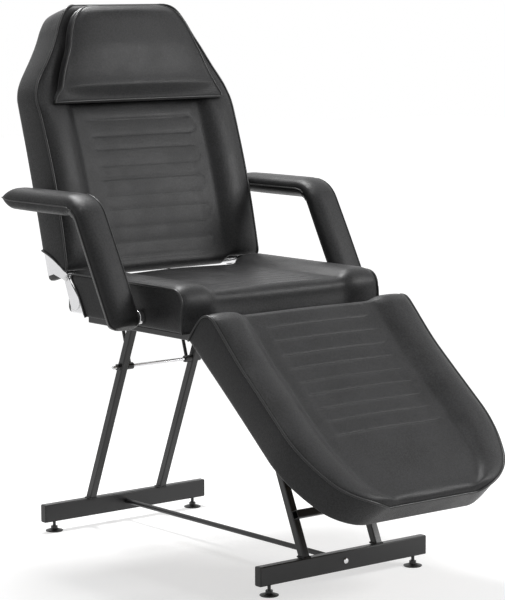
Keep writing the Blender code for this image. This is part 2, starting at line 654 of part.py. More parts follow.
def prop(name, length, centre, turn):
    """U-shaped rod: two sleeves on the axle, two arms and the bar that meets the rack."""
    swing = empty(f"{name}_axis", centre, turn, ROOT)
    reach = PROP_WIDTH / 2
    start = (AXLE_RADIUS + SEAT_GAP + PROP_SLEEVE_RADIUS) / 2
    path = [(0, -reach, start)]
    for sign, first in ((-1, pi), (1, pi / 2)):
        for step in range(CORNER_STEPS + 1):
            angle = first - pi / 2 * step / CORNER_STEPS
            path.append((0, sign * (reach - PROP_BEND) + PROP_BEND * cos(angle),
                         length - PROP_BEND + PROP_BEND * sin(angle)))
    path.append((0, reach, start))
    points = [Vector(point) for point in path]
    rings = []
    for index, point in enumerate(points):
        before = points[max(index - 1, 0)]
        after = points[min(index + 1, len(points) - 1)]
        heading = (after - before).normalized()
        side = Vector((1, 0, 0)).cross(heading)
        ring = []
        for step in range(SMALL_ROUND_STEPS):
            angle = 2 * pi * step / SMALL_ROUND_STEPS
            ring.append(point + PROP_ROD_RADIUS * (cos(angle) * Vector((1, 0, 0)) + sin(angle) * side))
        rings.append(ring)
    piece = add_object(name, loft(rings), FINISH["black_steel"], swing)
    for side, sign in sides():
        sleeve = rod(PROP_SLEEVE_RADIUS, -PROP_SLEEVE_LENGTH / 2, PROP_SLEEVE_LENGTH / 2, SMALL_ROUND_STEPS)
        sleeve_y = sign * (LEG_Y - LEG_TUBE / 2 - RUNNING_GAP - PROP_SLEEVE_LENGTH / 2)
        boolean(piece, tool(f"join_{name}_{side}", sleeve, swing, (0, sleeve_y, 0), along_y()), 'UNION')
    bore = rod(AXLE_RADIUS + SEAT_GAP, -LEG_Y, LEG_Y, SMALL_ROUND_STEPS)
    boolean(piece, tool(f"cut_{name}", bore, swing, (0, 0, 0), along_y()))


def oval_plug(name, parent, y_middle, z_middle, start_x, direction):
    """Domed cap in the end of a flat-oval tube; it bulges along X."""
    fit = 2 * (TUBE_WALL + SEAT_GAP)
    ear_clear = 2 * (WELD_BITE + SEAT_GAP)
    flange = (OVAL_THICKNESS - ear_clear, OVAL_HEIGHT - ear_clear)
    core = (OVAL_THICKNESS - fit, OVAL_HEIGHT - fit)
    layers = [(*core, OVAL_PLUG_DEPTH), (*core, 0), (*flange, 0)]
    for angle in ROLL_ANGLES[1:]:
        inset = 1 - sin(radians(angle)) * OVAL_PLUG_DOME_SHARE
        shrink = cos(radians(angle)) + inset * (1 - cos(radians(angle)))
        layers.append((flange[0] * shrink, flange[1] * shrink, -OVAL_PLUG_DOME * sin(radians(angle))))
    rings = []
    for thickness, height, out in layers:
        outline = rounded_rectangle(thickness, height, thickness * OVAL_END_SHARE, CORNER_STEPS)
        rings.append([(start_x + direction * out, y_middle + a, z_middle + b) for a, b in outline])
    add_object(name, loft(rings), FINISH["black_plastic"], parent)


def oval_tube(name, parent, y_middle, z_middle, start_x, end_x):
    """Plated flat-oval tube along X."""
    outer = rounded_rectangle(OVAL_THICKNESS, OVAL_HEIGHT, OVAL_THICKNESS * OVAL_END_SHARE, CORNER_STEPS)
    core = OVAL_THICKNESS - 2 * TUBE_WALL
    inner = rounded_rectangle(core, OVAL_HEIGHT - 2 * TUBE_WALL, core * OVAL_END_SHARE, CORNER_STEPS)
    bm = straight_tube(outer, inner, lambda a, b, x: (x, y_middle + a, z_middle + b), start_x, end_x)
    return add_object(name, bm, FINISH["chrome"], parent)


def pin_hole(piece, parent, name, centre, sign):
    """Drill a hinge ear for its pin."""
    hole = rod(PIN_RADIUS + SEAT_GAP, BACK_TUBE_INNER, HALF_WIDTH, SMALL_ROUND_STEPS)
    boolean(piece, tool(f"cut_{name}", hole, parent, centre, along_y(sign)))


def seat_side_tube(side, sign, root):
    """Side tube of the seat with the outer hinge ear at its rear end."""
    z_middle = SEAT_TUBE_BOTTOM + OVAL_HEIGHT / 2
    y_middle = sign * (SEAT_TUBE_OUTER - OVAL_THICKNESS / 2)
    name = f"seat_side_tube_{side}"
    tube = oval_tube(name, root, y_middle, z_middle, SEAT_TUBE_REAR, SEAT_TUBE_REAR + SEAT_TUBE_LENGTH)
    ear_root = (SEAT_TUBE_REAR + EAR_ROOT_RADIUS, z_middle)
    outline = link_outline(ear_root, EAR_ROOT_RADIUS, (BACK_HINGE_X, BACK_HINGE_Z), EAR_PIN_RADIUS)
    ear = plate(outline, sign * (EAR_OUTER - EAR_THICKNESS), sign * EAR_OUTER)
    boolean(tube, tool(f"join_{name}", ear, root), 'UNION')
    pin_hole(tube, root, name, BACK_HINGE, sign)
    oval_plug(f"seat_tube_plug_{side}", root, y_middle, z_middle, SEAT_TUBE_REAR - SEAT_GAP, 1)


def back_side_tube(side, sign, back):
    """Side tube of the back with the inner hinge ear at its lower end."""
    z_middle = -BACK_TUBE_DEPTH - OVAL_HEIGHT / 2
    y_middle = sign * (BACK_TUBE_OUTER - OVAL_THICKNESS / 2)
    name = f"back_side_tube_{side}"
    start = -BACK_TUBE_START
    tube = oval_tube(name, back, y_middle, z_middle, start - BACK_TUBE_LENGTH, start)
    ear_root = (start - EAR_ROOT_RADIUS, -BACK_TUBE_DEPTH - EAR_ROOT_RADIUS)
    outline = link_outline(ear_root, EAR_ROOT_RADIUS, (0, 0), EAR_PIN_RADIUS)
    ear = plate(outline, sign * (BACK_EAR_OUTER - EAR_THICKNESS), sign * BACK_EAR_OUTER)
    boolean(tube, tool(f"join_{name}", ear, back), 'UNION')
    pin_hole(tube, back, name, (0, 0, 0), sign)
    oval_plug(f"back_tube_plug_{side}", back, y_middle, z_middle, start + SEAT_GAP, -1)


def back_hinge_pin(side, sign, root):
    """Headed pin through both hinge ears."""
    length = 2 * EAR_THICKNESS + RUNNING_GAP + PIN_TAIL
    bm = domed_bolt(PIN_HEAD_RADIUS, PIN_HEAD_HEIGHT, PIN_RADIUS, length)
    place = (BACK_HINGE_X, sign * (EAR_OUTER + SEAT_GAP), BACK_HINGE_Z)
    add_object(f"back_hinge_pin_{side}", bm, FINISH["steel"], root, place, along_y(sign))


def leg_hinge_pin(side, sign, root):
    """Headed pin through a leg rest arm into a seat rail."""
    head_y = RAIL_OUTER_Y + RUNNING_GAP + LEG_ARM_WIDTH + SEAT_GAP
    length = SEAT_GAP + LEG_ARM_WIDTH + RUNNING_GAP + RAIL_WIDTH / 2
    bm = domed_bolt(LEG_PIN_HEAD_RADIUS, LEG_PIN_HEAD_HEIGHT, LEG_PIN_RADIUS, length)
    place = (LEG_HINGE_X, sign * head_y, LEG_HINGE_Z)
    add_object(f"leg_hinge_pin_{side}", bm, FINISH["steel"], root, place, along_y(sign))


def cushion_ring(place, half_width, edge, rise, groove, under):
    """One cross-section of a cushion: drawn-in sides, bolsters and a recessed middle."""
    bottom = under[0][1]
    right = [(half_width - inset, height) for inset, height in under[::-1]]
    middle = bottom + (edge - bottom) * SIDE_MIDDLE_SHARE
    right.append((half_width - SIDE_DRAW, middle))
    right.append((half_width, edge))
    for across, share in BOLSTER_SHARES:
        lift = BOLSTER_RISE * share if share > 0 else RECESS_DROP * share
        if across < RECESS_EDGE_SHARE:
            lift -= CHANNEL_DEPTH * groove
        right.append((half_width * across, edge + lift * rise))
    centre = (0, edge - (RECESS_DROP + CHANNEL_DEPTH * groove) * rise)
    left = [(-across, height) for across, height in right[::-1]]
    return [place(across, height) for across, height in right + [centre] + left]


def channel_stations(first, pitch, count):
    """Places along a cushion, with the depth share of its sewn channels."""
    stations = []
    for index in range(count):
        centre = first + index * pitch
        stations += [(centre - CHANNEL_HALF_WIDTH, 0), (centre, 1), (centre + CHANNEL_HALF_WIDTH, 0)]
    return stations


def roll_stations(end, radius, inward):
    """Places and drops of a rolled end, from the end inwards."""
    turns = [radians(angle) for angle in ROLL_ANGLES]
    return [(end + inward * radius * (1 - cos(turn)), radius * (1 - sin(turn))) for turn in turns]


def plan_draw(along, start, end):
    """How far a cushion's plan pulls in between its corners."""
    share = min(max((along - start) / (end - start), 0), 1)
    return PLAN_DRAW * sin(pi * share)


def hinge_cut(name, piece, parent, centre_x, centre_z, radius):
    """Cut the round clearance for the hinge through a section's full width."""
    cutter = rod(radius, -HALF_WIDTH - CUT_OVERRUN, HALF_WIDTH + CUT_OVERRUN, HINGE_CUT_STEPS)
    boolean(piece, tool(name, cutter, parent, (centre_x, 0, centre_z), along_y()))


def chord_reach(radius, offset):
    """Half chord of a round clearance at an offset from its centre."""
    return sqrt(max(radius ** 2 - offset ** 2, 0))


def seat_cushion(root):
    """Seat pad: raised side bolsters, sewn channels and a rolled front."""
    foam_under = BOARD_TOP + SEAT_GAP
    notch_top = SEAT_TUBE_BOTTOM + OVAL_HEIGHT + SEAT_GAP
    notch_inset = HALF_WIDTH - SEAT_TUBE_INNER + SEAT_GAP
    hollow = [(0, SEAT_UNDERSIDE), (SKIRT_THICKNESS, SEAT_UNDERSIDE), (SKIRT_THICKNESS, notch_top),
              (notch_inset, notch_top), (notch_inset, foam_under)]
    solid = [(inset, SEAT_UNDERSIDE) for inset, _ in hollow]
    board_front = SEAT_FRONT - SEAT_BOARD_FRONT_MARGIN + SEAT_GAP
    rows = [(x, SEAT_EDGE - drop, share, 0, hollow) for (x, drop), share in
            zip(roll_stations(SEAT_REAR, SEAT_REAR_ROLL, 1), SEAT_REAR_RISE_SHARES)]
    for x, groove in channel_stations(SEAT_REAR + SEAT_FIRST_CHANNEL, SEAT_CHANNEL_PITCH, SEAT_CHANNELS):
        rows.append((x, SEAT_EDGE, 1.0, groove, hollow))
    front = list(zip(roll_stations(SEAT_FRONT, SEAT_FRONT_ROLL, -1), SEAT_FRONT_RISE_SHARES))
    for (x, drop), share in front[::-1]:
        rows.append((x, SEAT_EDGE - drop, share, 0, hollow if x < board_front else solid))
    end_edge = SEAT_EDGE - rolled_drop(SEAT_FRONT - board_front, SEAT_FRONT_ROLL)
    rows.append((board_front, end_edge, SOLID_END_RISE_SHARE, 0, hollow))
    rows.append((board_front + SEAT_GAP, end_edge, SOLID_END_RISE_SHARE, 0, solid))
    rings = []
    for x, edge, rise, groove, under in sorted(rows, key=lambda row: row[0]):
        half = HALF_WIDTH - plan_draw(x, SEAT_REAR, SEAT_FRONT)
        shift = half - HALF_WIDTH
        fitted = under[:1] + [(inset + shift, height) for inset, height in under[1:]]

        def place(across, height, at=x):
            return (at, across, height)

        ring = cushion_ring(place, half, edge, rise, groove, fitted)
        rings.append(ring)
    pad = add_object("seat_cushion", loft(rings), FINISH["leather"], root)
    hinge_cut("cut_seat_cushion", pad, root, SEAT_CUT_X, SEAT_CUT_Z, SEAT_CUT_RADIUS)


def rolled_drop(distance, radius):
    """Drop of a rolled edge at a distance from its end face."""
    inner = max(radius - distance, 0)
    return radius - sqrt(max(radius ** 2 - inner ** 2, 0))


def seat_board(root):
    """Plywood under the seat pad, short of the hinge clearance."""
    rear = SEAT_CUT_X + chord_reach(SEAT_CUT_RADIUS, BOARD_BOTTOM - SEAT_CUT_Z) + CUSHION_BOARD_MARGIN
    front = SEAT_FRONT - SEAT_BOARD_FRONT_MARGIN
    half = SEAT_TUBE_INNER - SEAT_GAP
    outline = rounded_rectangle(front - rear, 2 * half, BOARD_CORNER, BOARD_CORNER_STEPS)
    middle = (front + rear) / 2
    bm = loft([[(middle + a, b, z) for a, b in outline] for z in (BOARD_BOTTOM, BOARD_TOP)])
    add_object("seat_board", bm, FINISH["plywood"], root)


def back_half_width(along):
    """Half width of the back at a distance from the hinge: straight, then tapered to the head."""
    head_half = BACK_HEAD_WIDTH / 2
    share = min(max((along - BACK_SHOULDER) / BACK_TAPER, 0), 1)
    eased = share - TAPER_EASE_SHARE * sin(2 * pi * share)
    half = HALF_WIDTH + (head_half - HALF_WIDTH) * eased
    left = BACK_START + BACK_LENGTH - along
    if left < BACK_HEAD_CORNER:
        short = BACK_HEAD_CORNER - max(left, 0)
        half -= BACK_HEAD_CORNER - sqrt(BACK_HEAD_CORNER ** 2 - short ** 2)
    return half - plan_draw(along, BACK_START, BACK_SHOULDER)


def back_front_edge(along):
    """How far the back's piping stands in front of the hinge axis."""
    lumbar = BACK_LUMBAR * sin(pi * min(along / BACK_SHOULDER, 1))
    neck_share = min(max((along - BACK_SHOULDER + BACK_NECK_LEAD) / BACK_NECK_SPAN, 0), 1)
    return BACK_FRONT_FACE + lumbar - BACK_NECK_DIP * sin(pi * neck_share)


def back_rise(along):
    """Share of the bolsters' height that is left at a distance from the hinge."""
    share = min(max((along - BACK_SHOULDER) / BACK_TAPER, 0), 1)
    return 1.0 - PILLOW_SEAT_SHARE * share


def back_cushion(back):
    """Back pad: lumbar curve, bolsters, sewn channels and a tapered head end."""
    foam_under = -BACK_BOARD_FRONT + SEAT_GAP
    notch_top = -BACK_TUBE_DEPTH + SEAT_GAP
    notch_inset = HALF_WIDTH - BACK_TUBE_INNER + SEAT_GAP
    rear = -BACK_REAR_FACE
    notch_end = BACK_TUBE_START + BACK_TUBE_LENGTH + CUSHION_BOARD_MARGIN

    def under(along):
        deep = notch_top if along < notch_end else foam_under
        return [(0, rear), (SKIRT_THICKNESS, rear), (SKIRT_THICKNESS, deep), (notch_inset, deep),
                (notch_inset, foam_under)]

    rows = [(at, drop, share, 0) for (at, drop), share in
            zip(roll_stations(BACK_START, BACK_LOWER_ROLL, 1), BACK_RISE_SHARES)]
    rows += [(at, 0, 1.0, groove) for at, groove in
             channel_stations(BACK_FIRST_CHANNEL + CHANNEL_HALF_WIDTH, BACK_CHANNEL_PITCH, BACK_CHANNELS)]
    tapered = [BACK_SHOULDER + BACK_TAPER * share for share in TAPER_SHARES]
    rows += [(at, 0, back_rise(at), 0) for at in tapered]
    rows += [(notch_end - SEAT_GAP, 0, 1.0, 0), (notch_end, 0, 1.0, 0)]
    top = BACK_START + BACK_LENGTH
    rows += [(at, drop, 1.0 - PILLOW_SEAT_SHARE, 0) for at, drop in roll_stations(top, BACK_UPPER_ROLL, -1)]
    rings = []
    for at, drop, rise, groove in sorted(rows):
        half = back_half_width(at)
        shift = half - HALF_WIDTH if at < notch_end else 0
        below = under(at)
        ring = cushion_ring(lambda across, height, along=at: (-along, across, height), half,
                            back_front_edge(at) - drop, rise, groove,
                            [below[0]] + [(inset + shift, height) for inset, height in below[1:]])
        rings.append(ring)
    pad = add_object("back_cushion", loft(rings), FINISH["leather"], back)
    hinge_cut("cut_back_cushion", pad, back, BACK_CUT_BELOW, -BACK_CUT_DEPTH, BACK_CUT_RADIUS)


def back_board(back):
    """Plywood at the rear of the back, stepped in beside the side tubes."""
    cut_reach = chord_reach(BACK_CUT_RADIUS, BACK_CUT_DEPTH - BACK_REAR_FACE)
    start = cut_reach - BACK_CUT_BELOW + CUSHION_BOARD_MARGIN
    step_at = BACK_TUBE_START + BACK_TUBE_LENGTH + 2 * CUSHION_BOARD_MARGIN
    inner = SEAT_GAP + HALF_WIDTH - BACK_TUBE_INNER + SEAT_GAP
    edge = [(start, HALF_WIDTH - inner), (step_at, HALF_WIDTH - inner)]
    skirt_fit = SKIRT_THICKNESS + SEAT_GAP
    top = BACK_START + BACK_LENGTH - SKIRT_THICKNESS
    tapered = [BACK_SHOULDER + BACK_TAPER * share for share in TAPER_SHARES]
    places = [step_at] + tapered + [top]
    edge += [(at, back_half_width(at) - skirt_fit - SIDE_DRAW / 2) for at in places]
    outline = [(-along, across) for along, across in edge]
    outline += [(-along, -across) for along, across in edge[::-1]]
    bm = loft([[(x, y, z) for x, y in outline] for z in (-BACK_REAR_FACE, -BACK_BOARD_FRONT)])
    add_object("back_board", bm, FINISH["plywood"], back)


def head_pillow(back):
    """Wedge pillow on the head end, with the back's taper and a chamfered lower edge."""
    rings = []
    length = PILLOW_END - PILLOW_START
    for share, front in PILLOW_PROFILE_SHARES:
        along = PILLOW_START + length * share
        seat = back_front_edge(along) + BOLSTER_RISE * back_rise(along) + PILLOW_REST_GAP
        half = back_half_width(along) - PILLOW_INSET
        thickness = PILLOW_EDGE * front
        rings.append(pillow_ring(-along, half, seat, thickness, PILLOW_CROWN * front))
    add_object("head_pillow", loft(rings), FINISH["leather"], back)


def pillow_ring(x, half, seat, thickness, crown):
    """Cross-section of the pillow: flat behind, rounded edges and a crowned front."""
    right = [(half * across, seat + thickness * share) for across, share in PILLOW_EDGE_SHARES]
    right += [(half * across, seat + thickness + crown * share) for across, share in PILLOW_CROWN_SHARES]
    right = [(half * PILLOW_FOOT_SHARE, seat)] + right
    left = [(-across, height) for across, height in right[::-1]]
    return [(x, across, height) for across, height in right + left]


def leg_half_width(along):
    """Half width of the leg rest: straight, a slow taper, then a wide round corner at the foot end."""
    end = LEG_REST_START + LEG_REST_LENGTH
    short = max(along - (end - LEG_REST_CORNER), 0)
    corner = LEG_REST_CORNER - sqrt(max(LEG_REST_CORNER ** 2 - short ** 2, 0))
    tapered = max(along - (end - LEG_REST_TAPER), 0) / LEG_REST_TAPER
    straight = plan_draw(along, LEG_REST_START, end - LEG_REST_TAPER)
    return HALF_WIDTH - corner - LEG_REST_TAPER_DRAW * tapered ** 2 - straight


def leg_top_edge(along):
    """Height of the leg rest's piping above its hinge: it swells towards the knee."""
    share = min(max((along - LEG_REST_START) / LEG_REST_KNEE_SPAN, 0), 1)
    return LEG_REST_UNDERSIDE + LEG_REST_THICKNESS + LEG_REST_KNEE_RISE * (1 + cos(pi * share)) / 2


def leg_slant(along, height):
    """How far the foot end's face leans back below the piping."""
    share = max(along - (LEG_REST_START + LEG_REST_LENGTH - LEG_REST_TAPER), 0) / LEG_REST_TAPER
    low = min(max(1 - (height - LEG_REST_UNDERSIDE) / LEG_REST_THICKNESS, 0), 1)
    return LEG_REST_END_SLANT * share * low


def leg_cushion(rest):
    """Leg rest pad: bolsters, sewn channels and a rounded foot end."""
    foam_under = LEG_REST_UNDERSIDE + BOARD_THICKNESS + SEAT_GAP
    hollow = [(0, LEG_REST_UNDERSIDE), (SKIRT_THICKNESS, LEG_REST_UNDERSIDE), (SKIRT_THICKNESS, foam_under)]
    solid = [(inset, LEG_REST_UNDERSIDE) for inset, _ in hollow]
    end = LEG_REST_START + LEG_REST_LENGTH
    board_start, board_end = leg_board_ends()
    rows = [(at, drop, share, 0) for (at, drop), share in
            zip(roll_stations(LEG_REST_START, LEG_REST_UPPER_ROLL, 1), LEG_RISE_SHARES)]
    rows += [(at, 0, 1.0, groove) for at, groove in
             channel_stations(LEG_REST_FIRST_CHANNEL, LEG_REST_CHANNEL_PITCH, LEG_REST_CHANNELS)]
    corner_start = end - LEG_REST_CORNER
    for share in LEG_TAPER_SHARES:
        rows.append((end - LEG_REST_TAPER * (1 - share), 0, 1.0 - END_FADE_SHARE * share, 0))
    for angle in LEG_CORNER_ANGLES:
        at = corner_start + LEG_REST_CORNER * sin(radians(angle))
        fade = (1.0 - END_FADE_SHARE) * cos(radians(angle)) ** END_FADE_POWER
        rows.append((at, rolled_drop(end - at, LEG_REST_LOWER_ROLL), fade, 0))
    for at in (board_start, board_end):
        drop = rolled_drop(at - LEG_REST_START, LEG_REST_UPPER_ROLL)
        drop += rolled_drop(end - at, LEG_REST_LOWER_ROLL)
        rows += [(at - SEAT_GAP, drop, SOLID_END_RISE_SHARE, 0), (at, drop, SOLID_END_RISE_SHARE, 0)]
    rings = []
    for at, drop, rise, groove in sorted(rows):
        under = hollow if board_start <= at < board_end else solid

        def place(across, height, along=at):
            return (along - leg_slant(along, height), across, height)

        edge = leg_top_edge(at) - drop
        rings.append(cushion_ring(place, leg_half_width(at), edge, rise, groove, under))
    add_object("leg_cushion", loft(rings), FINISH["leather"], rest)


def leg_board_ends():
    """Where the recess for the leg rest's board starts and ends."""
    start = LEG_REST_START + LEG_BOARD_MARGIN
    return start, LEG_REST_START + LEG_REST_LENGTH - 2 * LEG_BOARD_MARGIN


def leg_board(rest):
    """Plywood under the leg rest pad, with its rounded foot end."""
    start, end = leg_board_ends()
    start += SEAT_GAP
    end -= 2 * SEAT_GAP
    corner_start = LEG_REST_START + LEG_REST_LENGTH - LEG_REST_CORNER
    foot_end = corner_start + LEG_REST_CORNER
    places = [start] + [foot_end - LEG_REST_TAPER * (1 - share) for share in LEG_TAPER_SHARES]
    places += [corner_start + LEG_REST_CORNER * sin(radians(angle)) for angle in LEG_CORNER_ANGLES]
    fit = SKIRT_THICKNESS + 2 * SEAT_GAP + SIDE_DRAW
    edge = [(at, leg_half_width(at) - fit) for at in places if at < end]
    edge.append((end, leg_half_width(end) - fit))
    outline = edge + [(along, -across) for along, across in edge[::-1]]
    low, high = LEG_REST_UNDERSIDE, LEG_REST_UNDERSIDE + BOARD_THICKNESS
    bm = loft([[(x - leg_slant(x, z), y, z) for x, y in outline] for z in (low, high)])
    add_object("leg_board", bm, FINISH["plywood"], rest)


def leg_hinge_arm(side, sign, rest):
    """Flat arm under the leg rest with its eye on the hinge pin."""
    top = LEG_REST_UNDERSIDE - SEAT_GAP
    bottom = top - LEG_ARM_HEIGHT
    eye = [(LEG_ARM_EYE * cos(radians(a)), LEG_ARM_EYE * sin(radians(a))) for a in EYE_ANGLES]
    shoulder = LEG_REST_START + LEG_SHOULDER_STEP
    outline = eye + [(LEG_ARM_EYE, bottom), (LEG_ARM_LENGTH - LEG_ARM_HEIGHT / 2, bottom),
                     (LEG_ARM_LENGTH, top - LEG_ARM_HEIGHT / 2), (LEG_ARM_LENGTH, top), (shoulder, top),
                     (shoulder, eye[0][1])]
    inner = RAIL_OUTER_Y + RUNNING_GAP
    name = f"leg_hinge_arm_{side}"
    bm = plate(outline, sign * inner, sign * (inner + LEG_ARM_WIDTH))
    arm = add_object(name, bm, FINISH["black_steel"], rest)
    hole = rod(LEG_PIN_RADIUS + SEAT_GAP, RAIL_OUTER_Y - CUT_OVERRUN, HALF_WIDTH, SMALL_ROUND_STEPS)
    boolean(arm, tool(f"cut_{name}", hole, rest, (0, 0, 0), along_y(sign)))


def rack_teeth(first, count, root, tip, step):
    """Outline of saw teeth along X from the first notch; step gives the way along."""
    points = []
    for index in range(count):
        centre = first + step * index * TOOTH_PITCH
        ramp_foot = centre + step * (TOOTH_ROOT / 2 - TOOTH_ROOT_SHIFT)
        ramp_head = ramp_foot + step * TOOTH_RAMP_LENGTH
        root_start = centre - step * (TOOTH_ROOT / 2 + TOOTH_ROOT_SHIFT)
        tip_end = ramp_head + step * TOOTH_TIP
        points += [(root_start, root), (ramp_foot, root), (ramp_head, tip), (tip_end, tip)]
    return points


def back_rack(back):
    """Notched bar behind the back: sloped teeth, then the land where the prop lies when flat."""
    face = -BACK_REAR_FACE - SEAT_GAP
    root = -BACK_RACK_ROOT
    tip = root - TOOTH_DEPTH
    first = -BACK_PROP_NOTCH
    teeth = rack_teeth(first, BACK_RACK_TEETH, root, tip, -1)
    heel = first + BACK_RACK_HEEL
    land_start = teeth[-1][0] - TOOTH_DEPTH / 2
    land_end = land_start - BACK_RACK_LAND_LENGTH
    outline = [(heel, face), (heel, tip), (teeth[0][0] + TOOTH_DEPTH / 3, tip)] + teeth
    outline += [(land_start, root), (land_end, root), (land_end, face)]
    bm = plate(outline, -RACK_WIDTH / 2, RACK_WIDTH / 2)
    add_object("back_rack", bm, FINISH["black_steel"], back)


def leg_rack(rest):
    """Notched bar under the leg rest, with the end stop that the prop meets when it is down."""
    face = LEG_REST_UNDERSIDE - SEAT_GAP
    tip = LEG_RACK_TIP
    root = tip + TOOTH_DEPTH
    stop = LEG_BAR_ALONG + PROP_ROD_RADIUS + SEAT_GAP
    first = stop - TOOTH_ROOT - TOOTH_RAMP_LENGTH
    teeth = rack_teeth(first, LEG_RACK_TEETH, root, tip, -1)
    heel = teeth[-1][0] - LEG_RACK_HEEL
    outline = [(stop + LEG_RACK_STOP, face), (stop + LEG_RACK_STOP, tip - LEG_RACK_STOP_DEPTH),
               (stop, tip - LEG_RACK_STOP_DEPTH), (stop, tip), (teeth[0][0] + TOOTH_DEPTH / 3, tip)] + teeth
    outline += [(heel, tip), (heel, face)]
    bm = plate(outline, -RACK_WIDTH / 2, RACK_WIDTH / 2)
    add_object("leg_rack", bm, FINISH["black_steel"], rest)


def arm_path():
    """Centre line of an armrest in X and Z with headings: level, bent, then down and forward."""
    lean = radians(ARM_LEAN)
    centre_z = ARM_TOP - ARM_THICKNESS / 2
    turn = pi / 2 - lean
    setback = ARM_BEND * tan(turn / 2)
    points = [(ARM_REAR, centre_z, 0.0)]
    bend_start = ARM_ELBOW - setback
    for step in range(ARM_BEND_STEPS + 1):
        heading = -turn * step / ARM_BEND_STEPS
        x, z = bend_start + ARM_BEND * sin(-heading), centre_z - ARM_BEND * (1 - cos(heading))
        points.append((x, z, heading))
    drop = centre_z - setback * cos(lean) - ARM_FOOT
    last_x = ARM_ELBOW + setback * sin(lean)
    points.append((last_x + drop * tan(lean), ARM_FOOT, -turn))
    return points


def armrest(side, sign, root):
    """Padded L-shaped armrest: one rounded section swept along its bend, with domed ends."""
    path = arm_path()
    first, last = path[0], path[-1]
    rings = []
    for angle in NOSE_ANGLES:
        scale = NOSE_FLOOR_SHARE + (1 - NOSE_FLOOR_SHARE) * sin(radians(angle)) ** NOSE_POWER
        rings.append(arm_ring(first[0] + ARM_NOSE * (1 - cos(radians(angle))), first[1], 0.0, scale, sign))
    for x, z, heading in path[1:-1]:
        rings.append(arm_ring(x, z, heading, 1.0, sign))
    for angle in NOSE_ANGLES[::-1]:
        scale = TOE_FLOOR_SHARE + (1 - TOE_FLOOR_SHARE) * sin(radians(angle)) ** NOSE_POWER
        shy = ARM_TOE * (1 - cos(radians(angle)))
        x, z = last[0] - shy * cos(last[2]), last[1] - shy * sin(last[2])
        rings.append(arm_ring(x, z, last[2], scale, sign))
    add_object(f"armrest_{side}", loft(rings), FINISH["leather"], root)


def arm_ring(x, z, heading, scale, sign):
    """Rounded section of the armrest, square to its heading; its outer lower edge hangs, then tucks in."""
    width, thickness = ARM_WIDTH * scale, ARM_THICKNESS * scale
    outline = rounded_rectangle(width, thickness, ARM_EDGE_RADIUS * scale, ARM_EDGE_STEPS)
    bent = -heading / (pi / 2 - radians(ARM_LEAN))
    hang = ARM_OUTER_DROOP * (1 - bent) - ARM_OUTER_TUCK * bent
    ring = []
    for out, up in outline:
        outer_low = (HALF_SHARE + out / ARM_WIDTH) * (HALF_SHARE - up / ARM_THICKNESS)
        up -= hang * outer_low * scale
        ring.append((x - up * sin(heading), sign * (ARM_Y + out), z + up * cos(heading)))
    return ring


def armrest_flange(side, sign, root):
    """Plated spacer disc between the seat's side and an armrest."""
    rim = FLANGE_RIM
    foot_x, foot_z, _ = arm_path()[-1]
    flange_x = foot_x - (FLANGE_HEIGHT - foot_z) * tan(radians(ARM_LEAN)) - FLANGE_SETBACK
    lowest = FLANGE_HEIGHT - FLANGE_RADIUS + rim
    side_draw = SIDE_DRAW * (lowest - SEAT_UNDERSIDE) / (SEAT_THICKNESS * SIDE_MIDDLE_SHARE)
    start = HALF_WIDTH - plan_draw(flange_x, SEAT_REAR, SEAT_FRONT) - side_draw + SEAT_GAP
    thickness = HALF_WIDTH + ARM_GAP - SEAT_GAP - start
    bm = turned([(0, 0), (FLANGE_RADIUS - rim, 0), (FLANGE_RADIUS, rim), (FLANGE_RADIUS, thickness - rim),
                 (FLANGE_RADIUS - rim, thickness), (0, thickness)])
    place = (flange_x, sign * start, FLANGE_HEIGHT)
    add_object(f"armrest_flange_{side}", bm, FINISH["chrome"], root, place, along_y(sign))


def build_base(root):
    """Floor bars, feet, legs, stretcher, brace and the frame under the seat."""
    for end_name, end in (("rear", -1), ("front", 1)):
        crossbar(f"{end_name}_crossbar", end, root)
        stretcher_bolt(f"stretcher_bolt_{end_name}", end, root)
        for side, sign in sides():
            crossbar_plug(f"{end_name}_crossbar_plug_{side}", end, sign, root)
            levelling_foot(f"{end_name}_foot_{side}", end, sign, root)
            base_leg(f"{end_name}_leg_{side}", end, sign, root)
    stretcher(root)
    front_brace(root)
    leg_top = RAIL_BOTTOM
    rear_x, front_x = rear_leg_x(leg_top), front_leg_x(leg_top)
    seat_cross_tube("seat_cross_tube_rear", rear_x, root)
    seat_cross_tube("seat_cross_tube_front", front_x, root)
    for side, sign in sides():
        seat_rail(f"seat_rail_{side}", sign, rear_x - LEG_TUBE / 2, front_x + LEG_TUBE / 2, root)
    axle("back_prop_axle", BACK_AXLE, root)
    axle("leg_prop_axle", LEG_AXLE, root)
    for side, sign in sides():
        axle_nut(f"back_axle_nut_{side}", BACK_AXLE, sign, root)
        axle_nut(f"leg_axle_nut_{side}", LEG_AXLE, sign, root)


def build_seat(root):
    """The fixed middle section with its side tubes, pins and armrests."""
    seat_board(root)
    seat_cushion(root)
    for side, sign in sides():
        seat_side_tube(side, sign, root)
        back_hinge_pin(side, sign, root)
        leg_hinge_pin(side, sign, root)
        armrest(side, sign, root)
        armrest_flange(side, sign, root)


def build_back(root):
    """The back, modelled flat and turned up about its hinge."""
    back = empty("back_hinge_axis", BACK_HINGE, BACK_TURN, root)
    back_board(back)
    back_cushion(back)
    head_pillow(back)
    back_rack(back)
    for side, sign in sides():
        back_side_tube(side, sign, back)
    reach = BACK_TUBE_INNER - SEAT_GAP
    bm = rod(BACK_CROSS_RADIUS, -reach, reach, ROUND_STEPS)
    place = (-BACK_CROSS_ALONG, 0, -BACK_CROSS_DEPTH)
    add_object("back_cross_tube", bm, FINISH["chrome"], back, place, along_y())
    prop("back_prop", BACK_PROP_LENGTH, BACK_AXLE, BACK_PROP_TURN)


